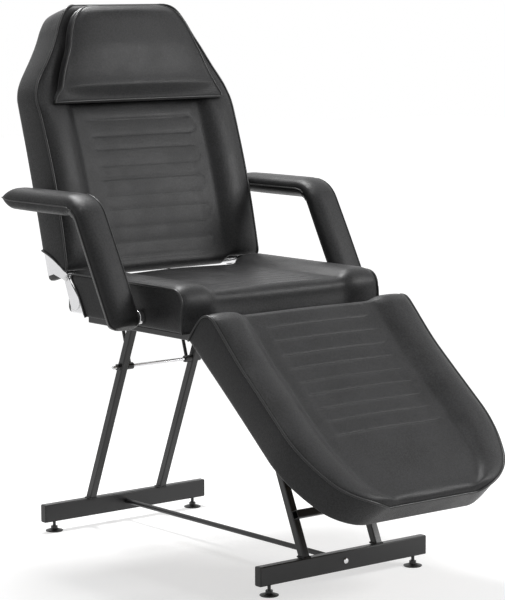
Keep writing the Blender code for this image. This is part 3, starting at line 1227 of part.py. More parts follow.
def build_leg_rest(root):
    """The leg rest, modelled level and turned down about its hinge."""
    rest = empty("leg_hinge_axis", LEG_HINGE, LEG_TURN, root)
    leg_board(rest)
    leg_cushion(rest)
    leg_rack(rest)
    for side, sign in sides():
        leg_hinge_arm(side, sign, rest)
    prop("leg_prop", LEG_PROP_LENGTH, LEG_AXLE, LEG_PROP_TURN)


def centre_on_origin(root):
    """Move the bed so that its bounding box stands centred on the origin."""
    bpy.context.view_layer.update()
    depsgraph = bpy.context.evaluated_depsgraph_get()
    low, high = [], []
    for piece in bpy.data.objects:
        if piece.type != 'MESH' or piece.hide_render:
            continue
        evaluated = piece.evaluated_get(depsgraph)
        places = [evaluated.matrix_world @ vert.co for vert in evaluated.data.vertices]
        low.append([min(place[axis] for place in places) for axis in range(3)])
        high.append([max(place[axis] for place in places) for axis in range(3)])
    for axis in (0, 1):
        root.location[axis] -= (min(row[axis] for row in low) + max(row[axis] for row in high)) / 2


for old in list(bpy.data.objects):
    bpy.data.objects.remove(old, do_unlink=True)

FINISH = {
    "black_steel": material("black_steel", (0.022, 0.022, 0.024), 0.42, 0.0),
    "black_plastic": material("black_plastic", (0.016, 0.016, 0.017), 0.5),
    "chrome": material("chrome", (0.78, 0.79, 0.81), 0.12, 1.0),
    "steel": material("steel", (0.55, 0.56, 0.58), 0.3, 1.0),
    "leather": material("leather", (0.026, 0.026, 0.028), 0.46),
    "plywood": material("plywood", (0.10, 0.085, 0.07), 0.8),
}

ROOT = empty("bed_frame_origin")
build_base(ROOT)
build_seat(ROOT)
build_back(ROOT)
build_leg_rest(ROOT)
centre_on_origin(ROOT)
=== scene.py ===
"""Dressed scene of a three-section beauty bed: sewn pads, piping, trim and finishes.

Metres, +Z up, +X towards the feet. A piece's name says left for -Y and right
for +Y, as seen from the foot end.
"""

import json
import logging
from bisect import bisect_right
from dataclasses import dataclass, field
from enum import Enum
from functools import cached_property
from math import ceil, copysign, cos, pi, radians, sin, sqrt, tan
from typing import Callable, Iterable, Sequence

import bmesh
import bpy
from mathutils import Matrix, Vector
from mathutils.bvhtree import BVHTree
from mathutils.kdtree import KDTree

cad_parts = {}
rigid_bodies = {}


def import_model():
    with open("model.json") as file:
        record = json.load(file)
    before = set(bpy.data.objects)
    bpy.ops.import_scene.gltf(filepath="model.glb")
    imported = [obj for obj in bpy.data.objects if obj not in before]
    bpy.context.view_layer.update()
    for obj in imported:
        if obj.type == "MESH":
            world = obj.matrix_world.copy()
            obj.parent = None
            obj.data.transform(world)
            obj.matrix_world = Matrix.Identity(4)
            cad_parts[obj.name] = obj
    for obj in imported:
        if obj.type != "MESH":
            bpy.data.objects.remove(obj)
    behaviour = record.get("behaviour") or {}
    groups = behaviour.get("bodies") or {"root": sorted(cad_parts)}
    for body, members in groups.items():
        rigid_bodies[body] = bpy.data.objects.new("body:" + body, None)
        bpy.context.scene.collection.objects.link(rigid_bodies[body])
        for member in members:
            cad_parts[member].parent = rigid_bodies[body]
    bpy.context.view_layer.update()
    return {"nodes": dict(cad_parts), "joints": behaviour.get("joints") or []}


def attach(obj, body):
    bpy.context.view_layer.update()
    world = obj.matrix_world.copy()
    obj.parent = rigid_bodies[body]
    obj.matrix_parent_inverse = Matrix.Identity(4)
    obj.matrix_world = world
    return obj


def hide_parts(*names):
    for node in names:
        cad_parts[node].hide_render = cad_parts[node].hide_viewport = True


for start_object in list(bpy.data.objects):
    bpy.data.objects.remove(start_object)
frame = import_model()

LOG = logging.getLogger("beauty_bed")
MERGE_DISTANCE = 1e-6
MILLIMETRES = 1000
HALF_TURN = pi
QUARTER_TURN = pi / 2
FULL_TURN = 2 * pi
HALF = 0.5
PAD_HALF = 0.300
WAIST = 0.002
ROW_STEP = 0.0003


class Side(Enum):
    """The two sides of the bed, with the sign of their Y."""

    LEFT = -1
    RIGHT = 1

    @property
    def label(self) -> str:
        """The side's word in a piece's name."""
        return self.name.lower()


class Slot(Enum):
    """Material slots of the record."""

    LEATHER = "leather"
    BLACK_STEEL = "black_steel"
    CHROME = "chrome"
    STEEL = "steel"
    BLACK_PLASTIC = "black_plastic"
    PLYWOOD = "plywood"


class Look(Enum):
    """Finishes that a slot holds besides its own."""

    WELT = "welt"
    THREAD = "thread"
    BRAID = "braid"


class SmoothLine:
    """A smooth line through given points that never overshoots them."""

    def __init__(self, points: Iterable[tuple[float, float]]) -> None:
        """Work out the slopes at the points.

        Args:
            points: Pairs of place and value, with rising places.
        """
        self.at, self.value = zip(*points)
        steps = [(b - a, (q - p) / (b - a)) for a, b, p, q in
                 zip(self.at, self.at[1:], self.value, self.value[1:])]
        self.slope = [steps[0][1]]
        for (wide, rise), (next_wide, next_rise) in zip(steps, steps[1:]):
            if rise * next_rise <= 0:
                self.slope.append(0.0)
                continue
            before, after = 2 * next_wide + wide, next_wide + 2 * wide
            self.slope.append((before + after) / (before / rise + after / next_rise))
        self.slope.append(steps[-1][1])

    def __call__(self, place: float) -> float:
        """Value of the line at a place, held level outside its ends.

        Args:
            place: Where the line is read.

        Returns:
            The value there.
        """
        if place <= self.at[0]:
            return self.value[0]
        if place >= self.at[-1]:
            return self.value[-1]
        index = bisect_right(self.at, place) - 1
        span = self.at[index + 1] - self.at[index]
        t = (place - self.at[index]) / span
        low, high = self.value[index], self.value[index + 1]
        rise = t * t * (3 - 2 * t)
        ease_out, ease_in = t * (1 - t) ** 2, -t * t * (1 - t)
        leaning = self.slope[index] * ease_out + self.slope[index + 1] * ease_in
        return low + (high - low) * rise + span * leaning


def clamp(value: float, low: float = 0.0, high: float = 1.0) -> float:
    """Keep a value between two limits."""
    return min(max(value, low), high)


def smooth_step(value: float) -> float:
    """Ease a share from nought to one with level ends."""
    share = clamp(value)
    return share * share * (3 - 2 * share)


def faded(least: float, value: float) -> float:
    """Ease from a least share to one."""
    return least + (1 - least) * smooth_step(value)


def dip(distance: float, width: float) -> float:
    """Soft bell from one at no distance to nought at the given width."""
    return (1 - smooth_step(abs(distance) / width)) if width else 0.0


def spaced(start: float, end: float, pitch: float) -> list[float]:
    """Even places from start to end, both kept, at about the given pitch."""
    count = max(1, round(abs(end - start) / pitch))
    return [start + (end - start) * step / count for step in range(count + 1)]


def finished_object(name: str, bm: bmesh.types.BMesh, smooth: bool = True) -> bpy.types.Object:
    """Put a mesh into the scene as an object at the origin.

    Args:
        name: The piece's name.
        bm: The mesh, which is freed.
        smooth: Whether its faces are shaded smooth.

    Returns:
        The new object.
    """
    bmesh.ops.recalc_face_normals(bm, faces=bm.faces[:])
    for face in bm.faces:
        face.smooth = smooth
    mesh = bpy.data.meshes.new(name)
    bm.to_mesh(mesh)
    bm.free()
    piece = bpy.data.objects.new(name, mesh)
    bpy.context.scene.collection.objects.link(piece)
    return piece


def bent_grid(rows: int, columns: int, place: Callable[[int, int], Vector],
              capped: bool = True) -> bmesh.types.BMesh:
    """Lay a flat grid along a shape, close its seam and cap its ends.

    Args:
        rows: Steps along the shape.
        columns: Steps across or round it.
        place: Gives the point of a row and a column.
        capped: Whether open ends are filled.

    Returns:
        The mesh.
    """
    bm = bmesh.new()
    bmesh.ops.create_grid(bm, x_segments=rows, y_segments=columns, size=HALF)
    for vert in bm.verts:
        vert.co = place(round((vert.co.x + HALF) * rows), round((vert.co.y + HALF) * columns))
    bmesh.ops.remove_doubles(bm, verts=bm.verts[:], dist=MERGE_DISTANCE)
    if capped:
        bmesh.ops.holes_fill(bm, edges=[edge for edge in bm.edges if edge.is_boundary])
    return bm


def travelling_frames(path: Sequence[Vector], closed: bool = False) -> list[tuple[Vector, Vector, Vector]]:
    """Carry a pair of cross directions along a path without twisting them.

    Args:
        path: Points of the path.
        closed: Whether the last point joins the first.

    Returns:
        For each point its heading and two directions square to it.
    """
    count = len(path)
    frames: list[tuple[Vector, Vector, Vector]] = []
    side = Vector()
    for index, point in enumerate(path):
        before = path[(index - 1) % count] if closed or index else point
        after = path[(index + 1) % count] if closed or index < count - 1 else point
        heading = (after - before).normalized()
        if not index:
            side = heading.orthogonal().normalized()
        side = (side - heading * side.dot(heading)).normalized()
        frames.append((heading, side, heading.cross(side)))
    return frames


def tube(path: Sequence[Vector], radius: float, sides: int = 10, closed: bool = False) -> bmesh.types.BMesh:
    """Sweep a round section along a path.

    Args:
        path: Points of the centre line.
        radius: The section's radius.
        sides: Faces round it.
        closed: Whether the path is a loop.

    Returns:
        The mesh, with closed ends.
    """
    frames = travelling_frames(path, closed)
    count = len(path)

    def place(row: int, column: int) -> Vector:
        """A point of the tube's skin."""
        heading, side, lift = frames[row % count]
        turn = FULL_TURN * (column % sides) / sides
        return path[row % count] + side * (radius * cos(turn)) + lift * (radius * sin(turn))

    return bent_grid(count if closed else count - 1, sides, place, capped=not closed)


def add_mesh(bm: bmesh.types.BMesh, part: bmesh.types.BMesh) -> None:
    """Join a part, which is freed, to a mesh.

    Args:
        bm: The mesh that is added to.
        part: The part.
    """
    carrier = bpy.data.meshes.new("carrier")
    part.to_mesh(carrier)
    part.free()
    bm.from_mesh(carrier)
    bpy.data.meshes.remove(carrier)


@dataclass
class SectionFrame:
    """Where an upholstered section stands: along, across and height become a place in the bed."""

    matrix: Matrix
    direction: float = 1.0

    def place(self, along: float, across: float, height: float) -> Vector:
        """A point of the section in the bed's frame."""
        return self.matrix @ Vector((self.direction * along, across, height))

    @property
    def upward(self) -> Vector:
        """Direction in which the section's top panel faces."""
        return (self.matrix.to_3x3() @ Vector((0, 0, 1))).normalized()


def hinge_place(joint: str) -> Vector:
    """Where a joint's axis stands.

    Args:
        joint: The joint's name in the record.

    Returns:
        Its place.
    """
    return Vector(next(row["pos_m"] for row in frame["joints"] if row["name"] == joint))


HINGE_SETBACK = 0.262
SHIFT = hinge_place("back_recline").x + HINGE_SETBACK


@dataclass(frozen=True)
class Quilting:
    """Stitched lines across a panel: pairs of rows joined by a round turn at the right end."""

    first: float
    lines: int = 10
    pair: float = 0.043
    period: float = 0.0775
    left: float = -0.148
    right: float = 0.150

    @property
    def rows(self) -> tuple[float, ...]:
        """Places of the straight rows along the panel."""
        return tuple(self.first + self.period * (line // 2) + self.pair * (line % 2)
                     for line in range(self.lines))

    def paths(self, pitch: float) -> list[list[Vector]]:
        """Points of each pair of rows, along and across the panel.

        Args:
            pitch: About the distance between them.

        Returns:
            For each pair its points, with no height.
        """
        pairs = []
        radius = self.pair / 2
        steps = ceil(HALF_TURN * radius / pitch)
        for start in self.rows[::2]:
            points = [Vector((start, across, 0)) for across in spaced(self.left, self.right, pitch)]
            for step in range(1, steps):
                turn = HALF_TURN * step / steps
                points.append(Vector((start + radius * (1 - cos(turn)), self.right + radius * sin(turn), 0)))
            back = spaced(self.right, self.left, pitch)
            points += [Vector((start + self.pair, across, 0)) for across in back]
            pairs.append(points)
        return pairs


HELD_GROUP = "held"
EVEN_SHARE = 0.75
WALL_GIVE = 0.5
END_FADE_DEPTH = 0.72
VALLEY_SHARE = 0.68
VALLEY_HOLD = 0.85
VALLEY_HOLD_WIDTH = 0.05
STITCH_HOLD = 0.95
STITCH_LINE_REACH = 0.0012
BOLSTER_RISE = 0.011
RECESS_DROP = 0.012
CENTRE_CROWN = 0.003
CROSS_PROFILE = SmoothLine(((0.0, -1.0), (0.35, -1.0), (0.60, -0.97), (0.655, -0.78), (0.70, -0.05),
                            (0.745, 0.66), (0.80, 0.95), (0.86, 1.0), (0.93, 0.86), (0.975, 0.50),
                            (1.0, 0.0)))
SWELL_FRAMES = 20
SWELL_PRESSURE = 4.0


@dataclass
class PadForm:
    """Shape of a sewn pad: a top panel between two piped edges, boxed sides and a hollow underside."""

    name: str
    node: str
    body: str
    section: SectionFrame
    cell: float = 0.0062
    wall_layers: int = 12
    under: float = 0.0
    skirt: tuple[tuple[float, float], ...] = ()
    quilting: Quilting | None = None
    fill: float = 0.6
    puff: float = 0.004
    groove: float = 0.0011
    side_swell: float = 0.0028
    top_rows: list[float] = field(default_factory=list)
    under_rows: list[float] = field(default_factory=list)
    closed_rows: set[int] = field(default_factory=set)

    def half_width(self, along: float) -> float:
        """Half width of the pad at a place along it."""
        raise NotImplementedError

    def under_half_width(self, along: float) -> float:
        """Half width of the underside at a place along it."""
        return self.half_width(along)

    def edge_height(self, along: float) -> float:
        """Height of the piped edge at a place along it."""
        raise NotImplementedError

    def rise(self, along: float) -> float:
        """Share of the bolsters' height that is left at a place along it."""
        raise NotImplementedError

    def settle(self, along: float, across: float, height: float) -> Vector:
        """Last bend of the shape, such as a hinge clearance or a slanted end."""
        return self.section.place(along, across, height)

    def lift(self, along: float, share: float) -> float:
        """Height of the top panel over its piped edge.

        Args:
            along: Place along the pad.
            share: Place across it, as a share of the half width.

        Returns:
            The height, in metres.
        """
        away = abs(share)
        level = CROSS_PROFILE(away)
        height = BOLSTER_RISE * level if level > 0 else RECESS_DROP * level
        crown = CENTRE_CROWN * (1 - smooth_step(away / VALLEY_SHARE))
        return (height + crown) * self.rise(along)

    def facing(self, along: float) -> float:
        """Sine of the skin's turn towards an end, nought on the flat."""
        return 0.0

    @cached_property
    def shares(self) -> list[float]:
        """Places across the top panel, from one side to the other, as shares of the half width.

        Returns:
            The shares, from one to minus one.
        """
        half_count = round(self.half_width(self.top_rows[len(self.top_rows) // 2]) / self.cell)
        right = [cos(QUARTER_TURN * step / half_count) for step in range(half_count)]
        even = [1 - step / half_count for step in range(half_count)]
        mixed = [EVEN_SHARE * flat + (1 - EVEN_SHARE) * round_share for flat, round_share in zip(even, right)]
        return mixed + [0.0] + [-share for share in mixed[::-1]]

    def under_point(self, row: int, column: int) -> tuple[float, float, float]:
        """A point of the underside.

        Args:
            row: Row along the pad.
            column: Column across it.

        Returns:
            Along, across and height, before the last bend.
        """
        last = len(self.shares) - 1
        along = self.under_rows[row]
        half = self.under_half_width(along)
        near = min(column, last - column)
        sign = 1 if column < last / 2 else -1
        steps = len(self.skirt)
        inset, height = self.skirt[min(near, steps - 1)]
        if near >= steps:
            span = last / 2 - (steps - 1)
            inset += (half - inset) * (near - steps + 1) / span
        if row in self.closed_rows:
            height = self.under
        return (along, sign * (half - inset), height)

    def skin_point(self, row: int, column: int, depth: float) -> Vector:
        """A point of the pad's skin.

        Args:
            row: Row along the pad.
            column: Column across it.
            depth: Nought on the top panel, one on the underside.

        Returns:
            The point in the bed's frame.
        """
        along, share = self.top_rows[row], self.shares[column]
        last = len(self.shares) - 1
        point = Vector((along, share * self.half_width(along), self.edge_height(along)))
        turn = self.facing(along)
        raised = self.lift(along, share)
        if depth > MERGE_DISTANCE:
            point = point.lerp(Vector(self.under_point(row, column)), depth)
            at_end = row in (0, len(self.top_rows) - 1)
            raised *= 1 - smooth_step(depth / END_FADE_DEPTH) if at_end else 0
            if column in (0, last) and depth < 1 - MERGE_DISTANCE:
                swell_out = self.side_swell * sin(HALF_TURN * depth) ** HALF
                point.y += swell_out if column == 0 else -swell_out
        point += Vector((turn, 0, sqrt(1 - turn * turn))) * raised
        return self.settle(*point)

    def shell(self) -> bmesh.types.BMesh:
        """Make the closed shell of the pad from a grid that is given thickness.

        Returns:
            The closed mesh.
        """
        rows, columns, layers = len(self.top_rows) - 1, len(self.shares) - 1, self.wall_layers
        bm = bmesh.new()
        bmesh.ops.create_grid(bm, x_segments=rows, y_segments=columns, size=HALF)
        lower = bmesh.ops.extrude_face_region(bm, geom=bm.faces[:], use_keep_orig=True)
        moved = [item for item in lower["geom"] if isinstance(item, bmesh.types.BMVert)]
        bmesh.ops.translate(bm, verts=moved, vec=(0, 0, -1))
        upright = [edge for edge in bm.edges if abs(edge.verts[0].co.z - edge.verts[1].co.z) > HALF]
        bmesh.ops.subdivide_edges(bm, edges=upright, cuts=layers - 1, use_grid_fill=True)
        group = bm.verts.layers.deform.verify()
        for vert in bm.verts:
            row = round((vert.co.x + HALF) * rows)
            column = round((HALF - vert.co.y) * columns)
            depth = -vert.co.z
            vert[group][0] = self.hold(row, rows, self.shares[column], depth)
            vert.co = self.skin_point(row, column, depth)
        return bm

    def hold(self, row: int, rows: int, share: float, depth: float) -> float:
        """How firmly a point is held while the pad swells.

        Args:
            row: Row along the pad.
            rows: The last row.
            share: Place across it.
            depth: Nought on the top panel, one on the underside.

        Returns:
            One where it is fixed, nought where it is free.
        """
        if depth > MERGE_DISTANCE:
            side_wall = abs(share) > 1 - MERGE_DISTANCE and row not in (0, rows)
            return 1 - WALL_GIVE * sin(HALF_TURN * depth) if side_wall else 1.0
        if abs(share) > 1 - MERGE_DISTANCE or row in (0, rows):
            return 1.0
        along = self.top_rows[row]
        seam = VALLEY_HOLD * dip(abs(share) - VALLEY_SHARE, VALLEY_HOLD_WIDTH) * clamp(self.rise(along))
        across = share * self.half_width(along)
        stitched = self.quilting and self.quilting.left < across < self.quilting.right and any(
            abs(along - row) < STITCH_LINE_REACH for row in self.quilting.rows)
        return max(seam, STITCH_HOLD if stitched else 0.0)

    def depths(self) -> list[float]:
        """Depths of the wall's layers, from the top panel down."""
        return [step / self.wall_layers for step in range(self.wall_layers + 1)]

    def welt_paths(self) -> dict[str, list[Vector]]:
        """Centre lines of the pad's welts by their name."""
        raise NotImplementedError

    def side_path(self, column: int) -> list[Vector]:
        """Points of one long edge, down the wall at both of its ends.

        Args:
            column: Column of the side.

        Returns:
            The points.
        """
        last = len(self.top_rows) - 1
        start = [self.skin_point(0, column, depth) for depth in self.depths()[:0:-1]]
        edge = [self.skin_point(row, column, 0) for row in range(last + 1)]
        return start + edge + [self.skin_point(last, column, depth) for depth in self.depths()[1:]]

    def wrapped_path(self) -> list[Vector]:
        """Points of the edge round the far end, down the wall at both near corners.

        Returns:
            The points.
        """
        last, columns = len(self.top_rows) - 1, len(self.shares) - 1
        lead = self.wall_layers + last
        across = [self.skin_point(last, column, 0) for column in range(1, columns)]
        return self.side_path(0)[:lead + 1] + across + self.side_path(columns)[:lead + 1][::-1]

    def build(self) -> bpy.types.Object:
        """Make the pad, let it swell, and hand it over as a riding piece.

        Returns:
            The pad.
        """
        pad = finished_object(self.name, self.shell())
        pad.vertex_groups.new(name=HELD_GROUP)
        swell(pad, self.puff)
        if self.quilting:
            press_grooves(pad, self)
        one_subdivision(pad)
        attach(pad, self.body)
        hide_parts(self.node)
        LOG.info("%s: %d faces", self.name, len(pad.data.polygons))
        return pad


def swell(pad: bpy.types.Object, most: float) -> None:
    """Let a pad's cover swell as filled cloth and keep the result in its mesh.

    Args:
        pad: The pad, with its held vertex group.
        most: The furthest that a point may move.
    """
    before = [vert.co.copy() for vert in pad.data.vertices]
    cloth = pad.modifiers.new("swelling", "CLOTH")
    settings = cloth.settings
    settings.quality = 4
    settings.bending_model = "LINEAR"
    settings.mass = 0.3
    settings.tension_stiffness = 25
    settings.compression_stiffness = 15
    settings.shear_stiffness = 8
    settings.bending_stiffness = 4
    settings.use_pressure = True
    settings.uniform_pressure_force = SWELL_PRESSURE
    settings.vertex_group_mass = HELD_GROUP
    settings.effector_weights.gravity = 0
    cloth.collision_settings.use_collision = False
    cloth.point_cache.frame_start = 1
    cloth.point_cache.frame_end = SWELL_FRAMES
    scene = bpy.context.scene
    for step in range(1, SWELL_FRAMES + 1):
        scene.frame_set(step)
    swollen = pad.evaluated_get(bpy.context.evaluated_depsgraph_get())
    moved = [vert.co.copy() for vert in swollen.data.vertices]
    pad.modifiers.remove(cloth)
    scene.frame_set(1)
    for vert, start, end in zip(pad.data.vertices, before, moved):
        shift = end - start
        vert.co = start + shift * (most / (most + shift.length))
    furthest = max((end - start).length for start, end in zip(before, moved))
    LOG.info("%s swelled by %.1f mm at most before its limit", pad.name, MILLIMETRES * furthest)


GROOVE_WIDTH = 0.0046


def press_grooves(pad: bpy.types.Object, form: PadForm) -> None:
    """Draw the pad's skin in along its stitched line.

    Args:
        pad: The pad's object.
        form: Its shape, which says where the line runs.
    """
    line = [point for pair in form.quilting.paths(GROOVE_WIDTH / 3) for point in pair]
    nearby = KDTree(len(line))
    for index, point in enumerate(line):
        nearby.insert(point, index)
    nearby.balance()
    inverse = form.section.matrix.inverted()
    down = -form.section.upward
    normals = [vert.normal.copy() for vert in pad.data.vertices]
    for vert, normal in zip(pad.data.vertices, normals):
        local = inverse @ vert.co
        if normal.dot(down) < -HALF:
            spot = Vector((local.x * form.section.direction, local.y, 0))
            vert.co += down * (form.groove * dip(nearby.find(spot)[2], GROOVE_WIDTH))


def one_subdivision(pad: bpy.types.Object) -> None:
    """Add one live subdivision to a pad.

    Args:
        pad: The pad.
    """
    finer = pad.modifiers.new("finer", "SUBSURF")
    finer.levels = 1
    finer.render_levels = 1
    finer.uv_smooth = "NONE"
    finer.boundary_smooth = "ALL"


STITCH_ROW_SHIFTS = (-0.0045, -0.0018, 0.0, 0.0018, 0.0045)
STITCH_ROW_CLEAR = 0.0022


def with_stitch_lines(rows: list[float], stitches: Sequence[float]) -> list[float]:
    """Add close rows beside each stitched row.

    Args:
        rows: Even places along a pad.
        stitches: Places of its stitched rows.

    Returns:
        All places, in order, without near doubles.
    """
    fine = [stitch + shift for stitch in stitches for shift in STITCH_ROW_SHIFTS]
    kept = [row for row in rows if all(abs(row - line) > STITCH_ROW_CLEAR for line in fine)]
    return sorted(kept + fine)


def roll_rows(end: float, radius: float, inward: int, steps: int = 7) -> list[float]:
    """Places of a rolled end, close together where it turns down.

    Args:
        end: The end's place.
        radius: The roll's radius.
        inward: 1 if the pad lies beyond the end, -1 if before it.
        steps: Steps of its quarter turn.

    Returns:
        The places, from the end inwards.
    """
    return [end + inward * radius * (1 - cos(QUARTER_TURN * step / steps)) for step in range(steps + 1)]


def roll_drop(distance: float, radius: float) -> float:
    """How far a rolled edge has dropped at a distance from its end face."""
    inner = clamp(radius - distance, 0, radius)
    return radius - sqrt(radius ** 2 - inner ** 2)


@dataclass
class SeatPad(PadForm):
    """The fixed seat: recessed middle, raised side bolsters and a front that rolls down."""

    rear: float = -0.240
    front: float = 0.2146
    half: float = PAD_HALF
    thickness: float = 0.101
    board_front: float = 0.2123
    rear_roll: float = 0.024
    front_roll: float = 0.034
    rear_rise_share: float = 0.8
    rear_fade: float = 0.035
    front_rise_share: float = 0.55
    front_fade: float = 0.045
    scoop_centre: tuple[float, float] = (-0.336, 0.540)
    scoop_radius: float = 0.1715

    def __post_init__(self) -> None:
        """Lay out the rows of the top and the underside."""
        body = spaced(self.rear + self.rear_roll, self.front - self.front_roll, self.cell)
        top = roll_rows(self.rear, self.rear_roll, 1, 4)[:-1] + with_stitch_lines(body, self.quilting.rows)
        top += roll_rows(self.front, self.front_roll, -1, 9)[::-1][1:]
        self.top_rows = top
        self.under_rows = [row for row in top]
        self.under_rows[-3:] = [self.board_front, self.board_front + ROW_STEP, self.front]
        last = len(top) - 1
        self.closed_rows = {last, last - 1}

    def half_width(self, along: float) -> float:
        """Half width, drawn in a little between the corners."""
        share = clamp((along - self.rear) / (self.front - self.rear))
        return self.half - WAIST * sin(HALF_TURN * share)

    def edge_height(self, along: float) -> float:
        """Piped edge: level, rolled down at both ends."""
        drop = roll_drop(along - self.rear, self.rear_roll) + roll_drop(self.front - along, self.front_roll)
        return self.under + self.thickness - drop

    def rise(self, along: float) -> float:
        """The bolsters are lower in both rolls."""
        rear = faded(self.rear_rise_share, (along - self.rear) / self.rear_fade)
        return rear * faded(self.front_rise_share, (self.front - along) / self.front_fade)

    def facing(self, along: float) -> float:
        """Sine of the skin's turn in the two rolls."""
        front = clamp(1 - (self.front - along) / self.front_roll)
        return front - clamp(1 - (along - self.rear) / self.rear_roll)

    def welt_paths(self) -> dict[str, list[Vector]]:
        """One welt along each side."""
        columns = {Side.LEFT: len(self.shares) - 1, Side.RIGHT: 0}
        return {side.label: self.side_path(column) for side, column in columns.items()}

    def settle(self, along: float, across: float, height: float) -> Vector:
        """Clear the hinge with a round hollow at the rear.

        Args:
            along: Place along the pad.
            across: Place across it.
            height: Height over the floor.

        Returns:
            The point in the bed's frame.
        """
        reach = self.scoop_radius ** 2 - (height - self.scoop_centre[1]) ** 2
        start = max(self.scoop_centre[0] + sqrt(max(reach, 0)), self.rear)
        share = (self.front - along) / (self.front - self.rear)
        return self.section.place(self.front - share * (self.front - start), across, height)


@dataclass
class BackPad(PadForm):
    """The reclining back: lumbar curve, bolsters, and a head end that tapers to round corners."""

    start: float = 0.010
    length: float = 0.676
    shoulder: float = 0.445
    front_face: float = 0.020
    lower_roll: float = 0.022
    upper_roll: float = 0.016
    lumbar: float = 0.0125
    neck_dip: float = 0.010
    neck_start: float = 0.400
    neck_span: float = 0.180
    head_corner: float = 0.058
    board_gap: float = 0.0055
    pillow_fade: float = 0.225
    pillow_fade_lead: float = 0.020
    pillow_fade_share: float = 0.8
    lower_rise_share: float = 0.3
    lower_fade: float = 0.050
    end_fade: float = 0.030
    scoop_below: float = 0.1015
    scoop_depth: float = 0.160
    scoop_radius: float = 0.2075
    lip_start: float = 0.001
    lip_reach: float = 0.212
    lip_rear: float = -0.024
    lip_fade: float = 0.020
    widths: SmoothLine = SmoothLine(((0.0, 0.300), (0.430, 0.3005), (0.460, 0.2955), (0.488, 0.2835),
                                     (0.517, 0.2655), (0.552, 0.2425), (0.594, 0.2175), (0.620, 0.2045),
                                     (0.650, 0.1925), (0.686, 0.188)))

    def __post_init__(self) -> None:
        """Lay out the rows of the top and the underside."""
        top_end = self.start + self.length
        body = spaced(self.start + self.lower_roll, top_end - self.head_corner, self.cell)
        top = roll_rows(self.start, self.lower_roll, 1, 6)[:-1] + with_stitch_lines(body, self.quilting.rows)
        top += roll_rows(top_end, self.head_corner, -1, 12)[::-1][1:]
        self.top_rows = top
        self.under_rows = [row for row in top]
        board_end = top_end - self.board_gap
        self.under_rows[-3:] = [board_end, board_end + ROW_STEP, top_end]
        last = len(top) - 1
        self.closed_rows = {last, last - 1}

    def half_width(self, along: float) -> float:
        """Half width: straight, tapered to the head, then round corners.

        Args:
            along: Place along the pad.

        Returns:
            The half width there.
        """
        half = self.widths(along)
        left = self.start + self.length - along
        if left < self.head_corner:
            short = self.head_corner - max(left, 0)
            half -= self.head_corner - sqrt(self.head_corner ** 2 - short ** 2)
        share = clamp((along - self.start) / (self.shoulder - self.start))
        return half - WAIST * sin(HALF_TURN * share)

    def face(self, along: float) -> float:
        """How far the front stands before the hinge axis, without the rolled ends.

        Args:
            along: Place along the pad.

        Returns:
            The place before or behind the hinge axis.
        """
        bulge = self.lumbar * sin(HALF_TURN * min(along / self.shoulder, 1))
        neck = clamp((along - self.neck_start) / self.neck_span)
        return self.front_face + bulge - self.neck_dip * sin(HALF_TURN * neck) ** 2

    def edge_height(self, along: float) -> float:
        """Piped edge: the face, rolled down at both ends.

        Args:
            along: Place along the pad.

        Returns:
            The place before or behind the hinge axis.
        """
        top_end = self.start + self.length
        drop = roll_drop(along - self.start, self.lower_roll) + roll_drop(top_end - along, self.upper_roll)
        return self.face(along) - drop

    def rise(self, along: float) -> float:
        """The bolsters fade under the head pillow and in the lower roll.

        Args:
            along: Place along the pad.

        Returns:
            The share of the bolsters' full height.
        """
        under_pillow = (along - self.shoulder + self.pillow_fade_lead) / self.pillow_fade
        upper = 1 - self.pillow_fade_share * smooth_step(under_pillow)
        lower = faded(self.lower_rise_share, (along - self.start) / self.lower_fade)
        end = smooth_step((self.start + self.length - along) / self.end_fade)
        return upper * lower * end

    def welt_paths(self) -> dict[str, list[Vector]]:
        """One welt up both sides and over the head end."""
        return {"edge": self.wrapped_path()}

    def settle(self, along: float, across: float, height: float) -> Vector:
        """Clear the hinge with a round hollow at the lower end, and let the middle hang over it.

        Args:
            along: Place along the pad.
            across: Place across it.
            height: Place before or behind the hinge axis.

        Returns:
            The point in the bed's frame.
        """
        reach = self.scoop_radius ** 2 - (height + self.scoop_depth) ** 2
        start = max(sqrt(max(reach, 0)) - self.scoop_below, self.start)
        middle = smooth_step((self.lip_reach - abs(across)) / self.lip_fade)
        front = smooth_step((height - self.lip_rear) / self.lip_fade)
        start += (self.lip_start - start) * middle * front
        end = self.start + self.length
        share = (end - along) / (end - self.start)
        return self.section.place(end - share * (end - start), across, height)


